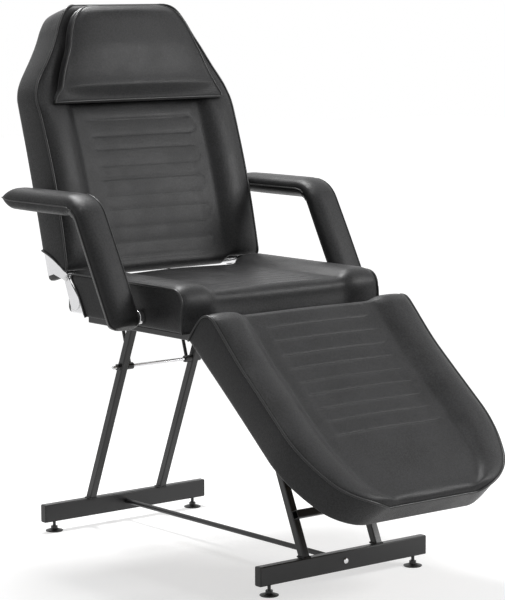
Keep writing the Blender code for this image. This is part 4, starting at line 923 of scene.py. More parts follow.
@dataclass
class LegPad(PadForm):
    """The swinging leg rest: bolsters, a tapered plan and a wide round foot end."""

    start: float = 0.0285
    length: float = 0.5995
    thickness: float = 0.0895
    corner: float = 0.080
    under_corner: float = 0.058
    taper: float = 0.230
    taper_draw: float = 0.088
    end_slant: float = 0.016
    knee_rise: float = 0.0125
    knee_span: float = 0.190
    upper_roll: float = 0.036
    lower_roll: float = 0.020
    board_start: float = 0.0305
    board_end: float = 0.6120
    taper_fade_share: float = 0.35
    knee_rise_share: float = 0.45
    knee_fade: float = 0.055
    end_fade: float = 0.045

    def __post_init__(self) -> None:
        """Lay out the rows of the top and the underside."""
        end = self.start + self.length
        body = spaced(self.start + self.upper_roll, end - self.corner, self.cell)
        top = roll_rows(self.start, self.upper_roll, 1)[:-1] + with_stitch_lines(body, self.quilting.rows)
        top += roll_rows(end, self.corner, -1, 16)[::-1][1:]
        self.top_rows = top
        self.under_rows = [row for row in top]
        self.under_rows[:3] = [self.start, self.board_start - 2 * ROW_STEP, self.board_start - ROW_STEP]
        late = [row for row in range(len(top)) if top[row] > self.board_end]
        self.under_rows[late[0]:late[0] + 2] = [self.board_end, self.board_end + ROW_STEP]
        last = len(top) - 1
        self.closed_rows = {0, 1} | set(range(late[0] + 1, last + 1))

    def half_width(self, along: float) -> float:
        """Half width of the top panel."""
        return self.rounded(along, self.corner)

    def under_half_width(self, along: float) -> float:
        """Half width of the underside, fuller than the top in the corners."""
        return self.rounded(along, self.under_corner)

    def rounded(self, along: float, radius: float) -> float:
        """Half width of a plan that is straight, tapers slowly and ends in a round corner.

        Args:
            along: Place along the pad.
            radius: Radius of the corner.

        Returns:
            The half width, in metres.
        """
        end = self.start + self.length
        short = max(along - (end - radius), 0)
        corner = radius - sqrt(max(radius ** 2 - short ** 2, 0))
        tapered = max(along - (end - self.taper), 0) / self.taper
        straight = clamp((along - self.start) / (self.length - self.taper))
        return PAD_HALF - corner - self.taper_draw * tapered ** 2 - WAIST * sin(HALF_TURN * straight)

    def edge_height(self, along: float) -> float:
        """Piped edge: it swells towards the knee and rolls down at both ends.

        Args:
            along: Place along the pad.

        Returns:
            The height there.
        """
        share = clamp((along - self.start) / self.knee_span)
        drop = roll_drop(along - self.start, self.upper_roll)
        drop += roll_drop(self.start + self.length - along, self.lower_roll)
        return self.under + self.thickness + self.knee_rise * (1 + cos(HALF_TURN * share)) / 2 - drop

    def rise(self, along: float) -> float:
        """The bolsters fade slowly to the foot end and die out in both rolls.

        Args:
            along: Place along the pad.

        Returns:
            The share of the bolsters' full height.
        """
        end = self.start + self.length
        tapered = (along - end + self.taper) / (self.taper - self.corner)
        fade = 1 - self.taper_fade_share * smooth_step(tapered)
        knee = faded(self.knee_rise_share, (along - self.start) / self.knee_fade)
        return fade * knee * smooth_step((end - along) / self.end_fade) ** HALF

    def facing(self, along: float) -> float:
        """Sine of the skin's turn over the knee."""
        return -clamp(1 - (along - self.start) / self.upper_roll)

    def welt_paths(self) -> dict[str, list[Vector]]:
        """One welt down both sides and round the foot end."""
        return {"edge": self.wrapped_path()}

    def settle(self, along: float, across: float, height: float) -> Vector:
        """Lean the foot end's face back below its piping.

        Args:
            along: Place along the pad.
            across: Place across it.
            height: Height before the bend.

        Returns:
            The point in the bed's frame.
        """
        share = max(along - (self.start + self.length - self.taper), 0) / self.taper
        low = clamp(1 - (height - self.under) / self.thickness)
        return self.section.place(along - self.end_slant * share * low, across, height)


PILLOW_ROWS = 44
PILLOW_FOOT_SHARES = (0.03, 0.06, 0.09, 0.115, 0.135, 0.15, 0.165, 0.185)
PILLOW_EDGE_SHARE = 0.80
PILLOW_REAR_SHARE = 0.99
SHOULDER_POWER = 10
BELLY_POWER = 2.4


@dataclass
class HeadPillow(PadForm):
    """Wedge pillow on the head end: flat behind, piped edges and a slanted lower face."""

    back: BackPad | None = None
    first: float = 0.432
    last: float = 0.677
    edge: float = 0.032
    crown: float = 0.012
    rest_gap: float = 0.0008
    corner: float = 0.050
    widths: SmoothLine = SmoothLine(((0.432, 0.2600), (0.438, 0.2590), (0.465, 0.2400), (0.485, 0.2310),
                                     (0.511, 0.2210), (0.540, 0.2090), (0.572, 0.1950), (0.605, 0.1840),
                                     (0.630, 0.1730), (0.650, 0.1650), (0.672, 0.1560)))
    profile: SmoothLine = SmoothLine(((0.0, 0.34), (0.03, 0.46), (0.08, 0.68), (0.12, 0.86), (0.145, 0.96),
                                      (0.16, 0.985), (0.20, 1.0), (0.65, 1.0), (0.82, 0.98), (0.92, 0.90),
                                      (0.97, 0.72), (1.0, 0.46)))

    def __post_init__(self) -> None:
        """Lay out the rows of the face and of the rear."""
        length = self.last - self.first
        even = [self.first + length * step / PILLOW_ROWS for step in range(PILLOW_ROWS + 1)]
        foot = [self.first + length * share for share in PILLOW_FOOT_SHARES]
        head = roll_rows(self.last, self.corner, -1, 12)[::-1]
        face = [row for row in even[len(foot) + 1:] if row < head[0] - self.cell / 2]
        self.top_rows = even[:1] + foot + face + head
        self.under_rows = list(self.top_rows)

    def seat(self, along: float) -> float:
        """Height of the back's panel under the pillow."""
        return self.back.face(along) + BOLSTER_RISE * self.back.rise(along) + self.rest_gap

    def half_width(self, along: float) -> float:
        """Half width: the back's, drawn in, with rounded corners."""
        short = self.corner - clamp(self.last - along, 0, self.corner)
        return self.widths(along) - self.corner + sqrt(self.corner ** 2 - short ** 2)

    def share_along(self, along: float) -> float:
        """Share of the pillow's length at a place."""
        return (along - self.first) / (self.last - self.first)

    def edge_height(self, along: float) -> float:
        """Height of the face's piped edge."""
        return self.seat(along) + self.edge * self.profile(self.share_along(along)) * PILLOW_EDGE_SHARE

    def lift(self, along: float, share: float) -> float:
        """The face is crowned, and rounds down to its piping.

        Args:
            along: Place along the pad.
            share: Place across, as a share of the half width.

        Returns:
            The height.
        """
        front = self.profile(self.share_along(along))
        shoulder = self.edge * (1 - PILLOW_EDGE_SHARE) * (1 - abs(share) ** SHOULDER_POWER)
        return front * (shoulder + self.crown * (1 - abs(share) ** BELLY_POWER))

    def rise(self, along: float) -> float:
        """The pillow has no bolsters."""
        return 0.0

    def under_point(self, row: int, column: int) -> tuple[float, float, float]:
        """A point of the rear, which follows the back's panel.

        Args:
            row: Row along the pad.
            column: Column across it.

        Returns:
            Along, across and height, before the last bend.
        """
        along = self.under_rows[row]
        across = self.shares[column] * self.half_width(along) * PILLOW_REAR_SHARE
        return (along, across, self.seat(along))

    def welt_paths(self) -> dict[str, list[Vector]]:
        """One welt round the face and one round the rear.

        Returns:
            The points of each welt, by its label.
        """
        last, columns = len(self.top_rows) - 1, len(self.shares) - 1
        paths = {}
        for name, depth in (("face", 0.0), ("rear", 1.0)):
            spots = [(row, 0) for row in range(last)] + [(last, column) for column in range(columns)]
            spots += [(row, columns) for row in range(last, 0, -1)]
            spots += [(0, column) for column in range(columns, 0, -1)]
            paths[name] = [self.skin_point(row, column, depth) for row, column in spots]
        return paths


NOSE_SHARES = (0.0, 0.03, 0.08, 0.15, 0.25, 0.38, 0.55, 0.76)
TOE_SHARES = (0.72, 0.48, 0.28, 0.14, 0.05, 0.0)
BEND_STEPS = 16
SEAM_CLEAR = 0.4
BRAID_CLEAR = 0.6
NOSE_STATIONS = 3.0
NOSE_DRAW = 0.93
NOSE_POWER = 2.4
NOSE_SIDE_DRAW = 0.16
NOSE_SIDE_POWER = 3
TOE_DRAW = 0.55
CROWN = 0.003
FOLD_PLACE = 0.55
FOLD_SPREAD = 0.5
FOLD_DEPTH = 0.0024
FOLD_RATE = 1.5
REAR_EDGE = radians(-1)
FRONT_EDGE = radians(52)
SEAM_RADIUS = 0.0016
SEAM_SIDES = 8
BRAID_STEP = 0.0011
BRAID_COLUMNS = 6
BRAID_RIB_ROWS = 4
BRAID_INSET = radians(2)
BRAID_WIDE = radians(31)
BRAID_NARROW = radians(24)
BRAID_LIFT = 0.0008
BRAID_RIB = 0.0007
BRAID_THICKNESS = 0.0006


@dataclass
class Armrest:
    """One padded armrest: a rounded section swept level, round a bend and down to the seat."""

    side: Side
    wardrobe: "Wardrobe"
    gap: float = 0.0175
    width: float = 0.085
    top: float = 0.889
    rear: float = -0.384
    elbow: float = -0.080
    bend: float = 0.064
    lean: float = radians(28.8)
    foot: float = 0.588
    droop: float = 0.010
    tuck: float = 0.008
    nose: float = 0.040
    toe: float = 0.014
    squareness: float = 2.9
    around: int = 44
    pitch: float = 0.0075
    thickness: SmoothLine = SmoothLine(((0.0, 0.041), (0.25, 0.044), (0.46, 0.044), (0.55, 0.046),
                                        (0.75, 0.051), (0.93, 0.050), (1.0, 0.046)))

    @cached_property
    def path(self) -> list[Vector]:
        """Centre line: place in X and Z, with its downward turn as the third number.

        Returns:
            Places along the arm, each with the height and the turn there.
        """
        centre = self.top - self.thickness(0) / 2
        turn = QUARTER_TURN - self.lean
        start = self.elbow - self.bend * tan(turn / 2)
        tip = [self.rear + self.nose * share for share in NOSE_SHARES]
        level = spaced(self.rear + self.nose, start, self.pitch)
        points = [Vector((x, centre, 0)) for x in tip + level]
        for step in range(1, BEND_STEPS + 1):
            angle = turn * step / BEND_STEPS
            height = centre - self.bend * (1 - cos(angle))
            points.append(Vector((start + self.bend * sin(angle), height, angle)))
        x, z = points[-1].x, points[-1].y
        self.bend_last = len(points) - 1
        heights = spaced(z, self.foot + self.toe, self.pitch)[1:]
        heights += [self.foot + self.toe * share for share in TOE_SHARES]
        points += [Vector((x + (z - height) * tan(self.lean), height, turn)) for height in heights]
        return points

    def ring_point(self, station: float, turn: float, raised: float = 0.0) -> Vector:
        """A point of the cover round the centre line.

        Args:
            station: Place on the centre line, counted in its points.
            turn: Angle round the section, from the outer side upwards.
            raised: Height over the skin.

        Returns:
            The point in the bed's frame.
        """
        index = min(int(station), len(self.path) - 2)
        x, z, heading = self.path[index].lerp(self.path[index + 1], station - index)
        last = self.path[-1]
        nose = clamp((x - self.rear) / self.nose)
        toe = clamp((z - last.y) / self.toe)
        closing = sqrt(1 - TOE_DRAW * (1 - toe) ** 2)
        full_depth = self.thickness(station / (len(self.path) - 1))
        depth = full_depth * (1 - (1 - nose) ** NOSE_POWER * NOSE_DRAW) * closing
        width = self.width * (1 - NOSE_SIDE_DRAW * (1 - nose) ** NOSE_SIDE_POWER) * closing
        power = 2 / self.squareness
        out = copysign(abs(cos(turn)) ** power, cos(turn)) * (width / 2 + raised)
        up = copysign(abs(sin(turn)) ** power, sin(turn)) * (depth / 2 + raised)
        up += CROWN * max(sin(turn), 0) * (1 - (2 * out / width) ** 2)
        bent = heading / (QUARTER_TURN - self.lean)
        hang = self.droop * (1 - bent) * nose - self.tuck * bent
        up -= hang * (HALF + out / width) * (HALF - up / depth)
        inner_fold = dip(bent - FOLD_PLACE, FOLD_SPREAD) * clamp(HALF - up / depth)
        up += FOLD_DEPTH * inner_fold * sin(station * FOLD_RATE)
        across = self.side.value * (PAD_HALF + self.gap + self.width / 2 + out)
        return Vector((x + SHIFT + up * sin(heading), across, z + up * cos(heading)))

    def build(self) -> None:
        """Make the padded shell, its seams and its trim."""
        stations = len(self.path) - 1
        bm = bent_grid(stations, self.around, lambda row, column: self.ring_point(
            row, FULL_TURN * (column % self.around) / self.around))
        pad = finished_object(f"armrest_pad_{self.side.label}", bm)
        one_subdivision(pad)
        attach(pad, "base")
        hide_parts(f"armrest_{self.side.label}")
        self.wardrobe.dress(pad, Slot.LEATHER)
        bend = self.bend_last
        front = FRONT_EDGE if self.side is Side.RIGHT else HALF_TURN - FRONT_EDGE
        self.welt("side_seam", SEAM_CLEAR, stations - SEAM_CLEAR, lambda station: REAR_EDGE * smooth_step(
            (station - bend + BEND_STEPS) / BEND_STEPS))
        self.welt("front_seam", bend - BEND_STEPS, stations - SEAM_CLEAR, lambda station: front)
        middle = bend - HALF * BEND_STEPS
        self.welt("lower_seam", NOSE_STATIONS, middle, lambda station: HALF_TURN - REAR_EDGE)
        self.braid(middle, stations - BRAID_CLEAR)

    def welt(self, label: str, start: float, end: float, turn: Callable[[float], float]) -> None:
        """Lay a narrow welt on the cover.

        Args:
            label: The seam's name.
            start: Its first place on the centre line.
            end: Its last place.
            turn: Angle round the section at a place.
        """
        stations = spaced(start, end, HALF)
        path = [self.ring_point(station, turn(station), SEAM_RADIUS / 3) for station in stations]
        seam = finished_object(f"armrest_{self.side.label}_{label}",
                               tube(path, SEAM_RADIUS, sides=SEAM_SIDES))
        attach(seam, "base")
        self.wardrobe.dress(seam, Look.WELT)

    def braid(self, start: float, end: float) -> None:
        """Lay the ribbed trim down the rear outer edge.

        Args:
            start: Its first place on the centre line.
            end: Its last place.
        """
        rows = round((end - start) * self.pitch / BRAID_STEP)

        def place(row: int, column: int) -> Vector:
            """A point of the ribbed strip, from its front border to its rear one."""
            share, over = row / rows, column / BRAID_COLUMNS
            spread = BRAID_WIDE + (BRAID_NARROW - BRAID_WIDE) * share
            rib = HALF + HALF * sin(FULL_TURN * (row / BRAID_RIB_ROWS + over))
            raised = (BRAID_LIFT + BRAID_RIB * rib) * sin(HALF_TURN * over) ** HALF
            station = start + (end - start) * share
            return self.ring_point(station, REAR_EDGE - BRAID_INSET - spread * over, raised)

        ribbed = bent_grid(rows, BRAID_COLUMNS, place, capped=False)
        strip = finished_object(f"armrest_{self.side.label}_braid", ribbed)
        thicken(strip, BRAID_THICKNESS)
        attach(strip, "base")
        self.wardrobe.dress(strip, Look.BRAID)


def thicken(piece: bpy.types.Object, depth: float) -> None:
    """Give a strip its thickness, inwards from its face.

    Args:
        piece: The piece.
        depth: Its thickness.
    """
    wall = piece.modifiers.new("thickness", "SOLIDIFY")
    wall.thickness = depth
    wall.offset = -1


NUMBER = "NodeSocketFloat"


def group_tree(name: str, inputs: Sequence[tuple[str, str, object]],
               outputs: Sequence[tuple[str, str]]) -> bpy.types.NodeTree:
    """Start a shader node group with named sockets.

    Args:
        name: The group's name.
        inputs: Name, socket kind and default of each input.
        outputs: Name and socket kind of each output.

    Returns:
        The group's tree.
    """
    tree = bpy.data.node_groups.new(name, "ShaderNodeTree")
    for label, kind, value in inputs:
        socket = tree.interface.new_socket(name=label, in_out="INPUT", socket_type=kind)
        if value is not None:
            socket.default_value = value
    for label, kind in outputs:
        tree.interface.new_socket(name=label, in_out="OUTPUT", socket_type=kind)
    return tree


class Wiring:
    """Places and joins the nodes of one tree."""

    def __init__(self, tree: bpy.types.NodeTree) -> None:
        """Keep the tree."""
        self.tree = tree

    def add(self, kind: str, settings: dict[str, object] | None = None, **values: object) -> bpy.types.Node:
        """Add a node.

        Args:
            kind: The node's type.
            settings: Properties of the node.
            values: Sockets by name, each a number or another node's output.

        Returns:
            The node.
        """
        node = self.tree.nodes.new(kind)
        for key, value in (settings or {}).items():
            setattr(node, key, value)
        for key, value in values.items():
            self.feed(node.inputs[key.replace("_", " ")], value)
        return node

    def feed(self, socket: bpy.types.NodeSocket, value: object) -> None:
        """Join a socket to an output, or set its number.

        Args:
            socket: The input.
            value: A socket to join to it, or its value.
        """
        if isinstance(value, bpy.types.NodeSocket):
            self.tree.links.new(value, socket)
        else:
            socket.default_value = value

    def maths(self, operation: str, first: object, second: object = 0.0,
              third: object = 0.0) -> bpy.types.NodeSocket:
        """Add a Math node and give its result.

        Args:
            operation: Name of the operation.
            first: Its first value.
            second: Its second value.
            third: Its third value.

        Returns:
            The result.
        """
        node = self.tree.nodes.new("ShaderNodeMath")
        node.operation = operation
        for socket, value in zip(node.inputs, (first, second, third)):
            self.feed(socket, value)
        return node.outputs[0]

    def spread(self, value: object, low: float, high: float, to_low: float,
               to_high: float) -> bpy.types.NodeSocket:
        """Add a smooth Map Range node and give its result.

        Args:
            value: The value that is mapped.
            low: Least value.
            high: Greatest value.
            to_low: Result for the least.
            to_high: Result for the greatest.

        Returns:
            The result.
        """
        node = self.tree.nodes.new("ShaderNodeMapRange")
        node.interpolation_type = "SMOOTHSTEP"
        for socket, given in zip(node.inputs, (value, low, high, to_low, to_high)):
            self.feed(socket, given)
        return node.outputs[0]

    def emboss(self, shader: bpy.types.Node, height: bpy.types.NodeSocket, distance: float) -> None:
        """Feed a height into a shader's normal by a Bump node of the given distance."""
        bump = self.add("ShaderNodeBump", Height=height, Strength=1.0, Distance=distance)
        self.feed(shader.inputs["Normal"], bump.outputs[0])

    def roughen(self, shader: bpy.types.Node, pattern: bpy.types.NodeSocket, least: float) -> None:
        """Feed a pattern into a shader's roughness, above the least one."""
        self.feed(shader.inputs["Roughness"], self.maths("MULTIPLY_ADD", pattern, 0.2, least))

    def blend(self, share: object, first: object, second: object) -> bpy.types.NodeSocket:
        """Add a colour Mix node and give its result.

        Args:
            share: Share of the second.
            first: First colour.
            second: Second colour.

        Returns:
            The mixed colour.
        """
        node = self.tree.nodes.new("ShaderNodeMix")
        node.data_type = "RGBA"
        self.feed(node.inputs["Factor"], share)
        self.feed(node.inputs[6], first)
        self.feed(node.inputs[7], second)
        return node.outputs[2]


GRAIN_WARP = (0.0009, 0.0009, 0.0009)


def grain_group() -> bpy.types.NodeTree:
    """Pebbled grain of coated cloth: height, tone and gloss masks.

    Returns:
        The node group.
    """
    inputs = (("Vector", "NodeSocketVector", None), ("Scale", NUMBER, 650.0), ("Crease", NUMBER, 0.5))
    tree = group_tree("pebble_grain", inputs, (("Height", NUMBER), ("Tone", NUMBER), ("Gloss", NUMBER)))
    wire = Wiring(tree)
    source, sink = tree.nodes.new("NodeGroupInput"), tree.nodes.new("NodeGroupOutput")
    at, scale = source.outputs["Vector"], source.outputs["Scale"]
    warp = wire.add("ShaderNodeTexNoise", Vector=at, Scale=wire.maths("MULTIPLY", scale, 0.45), Detail=2.0)
    nudge = wire.add("ShaderNodeVectorMath", {"operation": "MULTIPLY_ADD"})
    for socket, value in zip(nudge.inputs, (warp.outputs["Color"], GRAIN_WARP, at)):
        wire.feed(socket, value)
    cells = wire.add("ShaderNodeTexVoronoi", {"feature": "DISTANCE_TO_EDGE"}, Vector=nudge.outputs[0],
                     Scale=scale)
    pebble = wire.spread(cells.outputs["Distance"], 0.0, 0.22, 0.0, 1.0)
    fine = wire.add("ShaderNodeTexNoise", Vector=at, Scale=wire.maths("MULTIPLY", scale, 2.6), Detail=3.0)
    broad = wire.add("ShaderNodeTexNoise", Vector=at, Scale=14.0, Detail=5.0, Roughness=0.6)
    creases = wire.add("ShaderNodeTexNoise", Vector=at, Scale=38.0, Detail=4.0, Distortion=0.9)
    away = wire.maths("ABSOLUTE", wire.maths("SUBTRACT", creases.outputs[0], HALF))
    fold = wire.maths("MULTIPLY", away, 2.0)
    height = wire.maths("MULTIPLY_ADD", pebble, 0.55, wire.maths("MULTIPLY", fine.outputs[0], 0.35))
    wire.feed(sink.inputs["Height"], wire.maths("MULTIPLY_ADD", fold, source.outputs["Crease"], height))
    mottle = wire.add("ShaderNodeTexNoise", Vector=at, Scale=230.0, Detail=3.0, Roughness=0.7)
    patchy = wire.maths("MULTIPLY_ADD", broad.outputs[0], 0.55, wire.maths("MULTIPLY", pebble, 0.2))
    speckled = wire.maths("MULTIPLY_ADD", wire.spread(mottle.outputs[0], 0.3, 0.7, 0.0, 1.0), 0.4, patchy)
    wire.feed(sink.inputs["Tone"], wire.spread(speckled, 0.25, 0.85, 0.0, 1.0))
    wire.feed(sink.inputs["Gloss"], wire.spread(broad.outputs[0], 0.3, 0.7, 0.0, 1.0))
    return tree


EDGE_SHARE = 0.12


def wear_group() -> bpy.types.NodeTree:
    """Wear of raised edges and painted shade in hollows, from the shape near each point.

    Returns:
        The node group.
    """
    inputs = (("Vector", "NodeSocketVector", None), ("Reach", NUMBER, 0.01))
    tree = group_tree("edge_wear", inputs, (("Edge", NUMBER), ("Hollow", NUMBER), ("Smudge", NUMBER)))
    wire = Wiring(tree)
    source, sink = tree.nodes.new("NodeGroupInput"), tree.nodes.new("NodeGroupOutput")
    at, reach = source.outputs["Vector"], source.outputs["Reach"]
    rounded = wire.add("ShaderNodeBevel", {"samples": 4}, Radius=wire.maths("MULTIPLY", reach, EDGE_SHARE))
    turned = wire.add("ShaderNodeVectorMath", {"operation": "DOT_PRODUCT"})
    wire.feed(turned.inputs[0], rounded.outputs[0])
    wire.feed(turned.inputs[1], wire.add("ShaderNodeNewGeometry").outputs["Normal"])
    bent = wire.spread(turned.outputs["Value"], 0.80, 0.99, 1.0, 0.0)
    open_share = wire.add("ShaderNodeAmbientOcclusion", {"samples": 6}, Distance=reach)
    patches = wire.add("ShaderNodeTexNoise", Vector=at, Scale=55.0, Detail=6.0, Roughness=0.7)
    smudge = wire.add("ShaderNodeTexNoise", Vector=at, Scale=9.0, Detail=3.0)
    broken = wire.spread(patches.outputs[0], 0.35, 0.65, 0.25, 1.0)
    clear = wire.spread(open_share.outputs["AO"], 0.45, 0.85, 0.0, 1.0)
    wire.feed(sink.inputs["Edge"], wire.maths("MULTIPLY", wire.maths("MULTIPLY", bent, broken), clear))
    # Hollow: darker where ambient occlusion finds surfaces close by; wherever it darkens a colour it is
    # painted shade in creases, seams and between parts.
    wire.feed(sink.inputs["Hollow"], wire.spread(open_share.outputs["AO"], 0.25, 0.9, 1.0, 0.0))
    wire.feed(sink.inputs["Smudge"], wire.spread(smudge.outputs[0], 0.35, 0.65, 0.0, 1.0))
    return tree


class Effects:
    """The shared node groups, each made once."""

    def __init__(self) -> None:
        """Make the groups."""
        self.grain = grain_group()
        self.wear = wear_group()

    def place(self, wire: Wiring, tree: bpy.types.NodeTree, **values: object) -> bpy.types.Node:
        """Put a group into a material."""
        return wire.add("ShaderNodeGroup", {"node_tree": tree}, **values)


@dataclass(frozen=True)
class Finish:
    """What every finish has: a name, a colour and a roughness."""

    name: str
    colour: tuple[float, float, float]
    roughness: float

    def start(self, **values: object) -> tuple[bpy.types.Material, Wiring, bpy.types.NodeSocket,
                                               bpy.types.Node]:
        """Make the material with its shader.

        Args:
            values: Constants of the shader's own sockets.

        Returns:
            Material, wiring, Object coordinates and the shader.
        """
        material = bpy.data.materials.new(self.name)
        material.use_nodes = True
        wire = Wiring(material.node_tree)
        shader = material.node_tree.nodes["Principled BSDF"]
        for key, value in values.items():
            shader.inputs[key.replace("_", " ")].default_value = value
        at = wire.add("ShaderNodeTexCoord").outputs["Object"]
        material.diffuse_color = (*self.colour, 1)
        return material, wire, at, shader

    def paint(self, share: float) -> tuple[float, float, float, float]:
        """The colour, lightened or darkened by a share."""
        return (*(channel * share for channel in self.colour), 1.0)


@dataclass(frozen=True)
class CoatedCloth(Finish):
    """Black grained upholstery cloth with a soft sheen."""

    grain: float = 640.0
    bump: float = 0.00014
    reach: float = 0.014
    crease: float = 0.5
    specular: float = 0.20

    def build(self, effects: Effects) -> bpy.types.Material:
        """Make the material.

        Args:
            effects: The shared node groups.

        Returns:
            The material.
        """
        material, wire, at, shader = self.start(Specular_IOR_Level=self.specular)
        grain = effects.place(wire, effects.grain, Vector=at, Scale=self.grain, Crease=self.crease)
        wear = effects.place(wire, effects.wear, Vector=at, Reach=self.reach)
        base = wire.blend(grain.outputs["Tone"], self.paint(0.55), self.paint(1.5))
        worn = wire.blend(wire.maths("MULTIPLY", wear.outputs["Edge"], 0.3), base, self.paint(2.0))
        # Painted shade: the base darkens to an eighth in hollows, in creases, beside the piping and between
        # cushions.
        hollow_painted_shade = wire.blend(wear.outputs["Hollow"], worn, self.paint(0.12))
        wire.feed(shader.inputs["Base Color"], hollow_painted_shade)
        rough = wire.maths("MULTIPLY_ADD", grain.outputs["Gloss"], 0.09, self.roughness - 0.05)
        wire.feed(shader.inputs["Roughness"], wire.maths("MULTIPLY_ADD", wear.outputs["Hollow"], 0.45, rough))
        wire.emboss(shader, grain.outputs["Height"], self.bump)
        return material


@dataclass(frozen=True)
class RibbedBraid(Finish):
    """Woven braid: pale ribs with fine threads, darkened by painted shade in the gaps; the pale grey is
    partly a painted highlight.
    """

    def build(self, effects: Effects) -> bpy.types.Material:
        """Make the material.

        Args:
            effects: The shared node groups.

        Returns:
            The material.
        """
        material, wire, at, shader = self.start(Specular_IOR_Level=0.3)
        wear = effects.place(wire, effects.wear, Vector=at, Reach=0.003)
        threads = wire.add("ShaderNodeTexNoise", Vector=at, Scale=2400.0, Detail=2.0)
        base = wire.blend(threads.outputs[0], self.paint(0.6), self.paint(1.3))
        # Painted shade: the braid darkens in the gaps between its ribs and where it meets the cover.
        wire.feed(shader.inputs["Base Color"], wire.blend(wear.outputs["Hollow"], base, self.paint(0.25)))
        wire.roughen(shader, threads.outputs[0], self.roughness)
        wire.emboss(shader, threads.outputs[0], 0.0001)
        return material


@dataclass(frozen=True)
class CoatedSteel(Finish):
    """Black baked enamel on steel, with orange-peel skin and rubbed edges."""

    bare: tuple[float, float, float] = (0.32, 0.32, 0.33)

    def build(self, effects: Effects) -> bpy.types.Material:
        """Make the material.

        Args:
            effects: The shared node groups.

        Returns:
            The material.
        """
        material, wire, at, shader = self.start(Specular_IOR_Level=0.5)
        wear = effects.place(wire, effects.wear, Vector=at, Reach=0.010)
        skin = wire.add("ShaderNodeTexNoise", Vector=at, Scale=900.0, Detail=2.0)
        tone = wire.add("ShaderNodeTexNoise", Vector=at, Scale=26.0, Detail=5.0)
        base = wire.blend(tone.outputs[0], self.paint(0.8), self.paint(1.2))
        rubbed = wire.blend(wire.maths("MULTIPLY", wear.outputs["Edge"], 0.12), base, (*self.bare, 1.0))
        wire.feed(shader.inputs["Base Color"], rubbed)
        rough = wire.maths("MULTIPLY_ADD", wear.outputs["Smudge"], 0.12, self.roughness)
        wire.feed(shader.inputs["Roughness"], rough)
        wire.emboss(shader, skin.outputs[0], 0.00005)
        return material


@dataclass(frozen=True)
class PlatedSteel(Finish):
    """Bright plating with faint drawing marks and finger smudges."""

    metallic: float = 1.0

    def build(self, effects: Effects) -> bpy.types.Material:
        """Make the material.

        Args:
            effects: The shared node groups.

        Returns:
            The material.
        """
        material, wire, at, shader = self.start(Metallic=self.metallic)
        wear = effects.place(wire, effects.wear, Vector=at, Reach=0.008)
        drawn = wire.add("ShaderNodeMapping")
        wire.feed(drawn.inputs["Vector"], at)
        drawn.inputs["Scale"].default_value = (90.0, 1400.0, 1400.0)
        marks = wire.add("ShaderNodeTexNoise", Vector=drawn.outputs[0], Scale=1.0, Detail=3.0)
        base = wire.blend(wear.outputs["Smudge"], self.paint(0.9), self.paint(1.0))
        # Painted shade: the plating darkens in hollows and between parts.
        plating_painted_shade = wire.blend(wire.maths("MULTIPLY", wear.outputs["Hollow"], 0.4), base, self.paint(0.45))
        wire.feed(shader.inputs["Base Color"], plating_painted_shade)
        rough = wire.maths("MULTIPLY_ADD", wear.outputs["Smudge"], 0.10, self.roughness)
        wire.feed(shader.inputs["Roughness"], wire.maths("MULTIPLY_ADD", marks.outputs[0], 0.06, rough))
        wire.emboss(shader, marks.outputs[0], 0.00001)
        return material


@dataclass(frozen=True)
class MouldedPlastic(Finish):
    """Black moulded plastic with a fine spark-eroded texture."""

    def build(self, effects: Effects) -> bpy.types.Material:
        """Make the material.

        Args:
            effects: The shared node groups.

        Returns:
            The material.
        """
        material, wire, at, shader = self.start(Specular_IOR_Level=0.5)
        wear = effects.place(wire, effects.wear, Vector=at, Reach=0.006)
        pits = wire.add("ShaderNodeTexNoise", Vector=at, Scale=1800.0, Detail=3.0)
        base = wire.blend(wear.outputs["Smudge"], self.paint(0.8), self.paint(1.3))
        rubbed = wire.blend(wire.maths("MULTIPLY", wear.outputs["Edge"], 0.3), base, self.paint(3.0))
        wire.feed(shader.inputs["Base Color"], rubbed)
        wire.roughen(shader, pits.outputs[0], self.roughness)
        wire.emboss(shader, pits.outputs[0], 0.00006)
        return material


@dataclass(frozen=True)
class BirchBoard(Finish):
    """Plywood: long pale grain with dark streaks on its faces, and lighter rubbed edges."""

    pitch: float = 0.0025

    def build(self, effects: Effects) -> bpy.types.Material:
        """Make the material.

        Args:
            effects: The shared node groups.

        Returns:
            The material.
        """
        material, wire, at, shader = self.start(Specular_IOR_Level=0.3)
        wear = effects.place(wire, effects.wear, Vector=at, Reach=0.008)
        stretched = wire.add("ShaderNodeMapping")
        wire.feed(stretched.inputs["Vector"], at)
        stretched.inputs["Scale"].default_value = (5.0, 60.0, 60.0)
        rings = wire.add("ShaderNodeTexNoise", Vector=stretched.outputs[0], Scale=1.6, Detail=8.0,
                         Distortion=1.4)
        fibres = wire.add("ShaderNodeTexNoise", Vector=stretched.outputs[0], Scale=14.0, Detail=4.0)
        banded = wire.spread(rings.outputs[0], 0.35, 0.65, 0.0, 1.0)
        base = wire.blend(banded, self.paint(1.1), self.paint(0.62))
        streaked = wire.blend(wire.maths("MULTIPLY", fibres.outputs[0], 0.4), base, self.paint(0.5))
        rubbed = wire.blend(wire.maths("MULTIPLY", wear.outputs["Edge"], 0.3), streaked, self.paint(1.4))
        wire.feed(shader.inputs["Base Color"], rubbed)
        wire.roughen(shader, fibres.outputs[0], self.roughness)
        wire.emboss(shader, fibres.outputs[0], 0.0002)
        return material


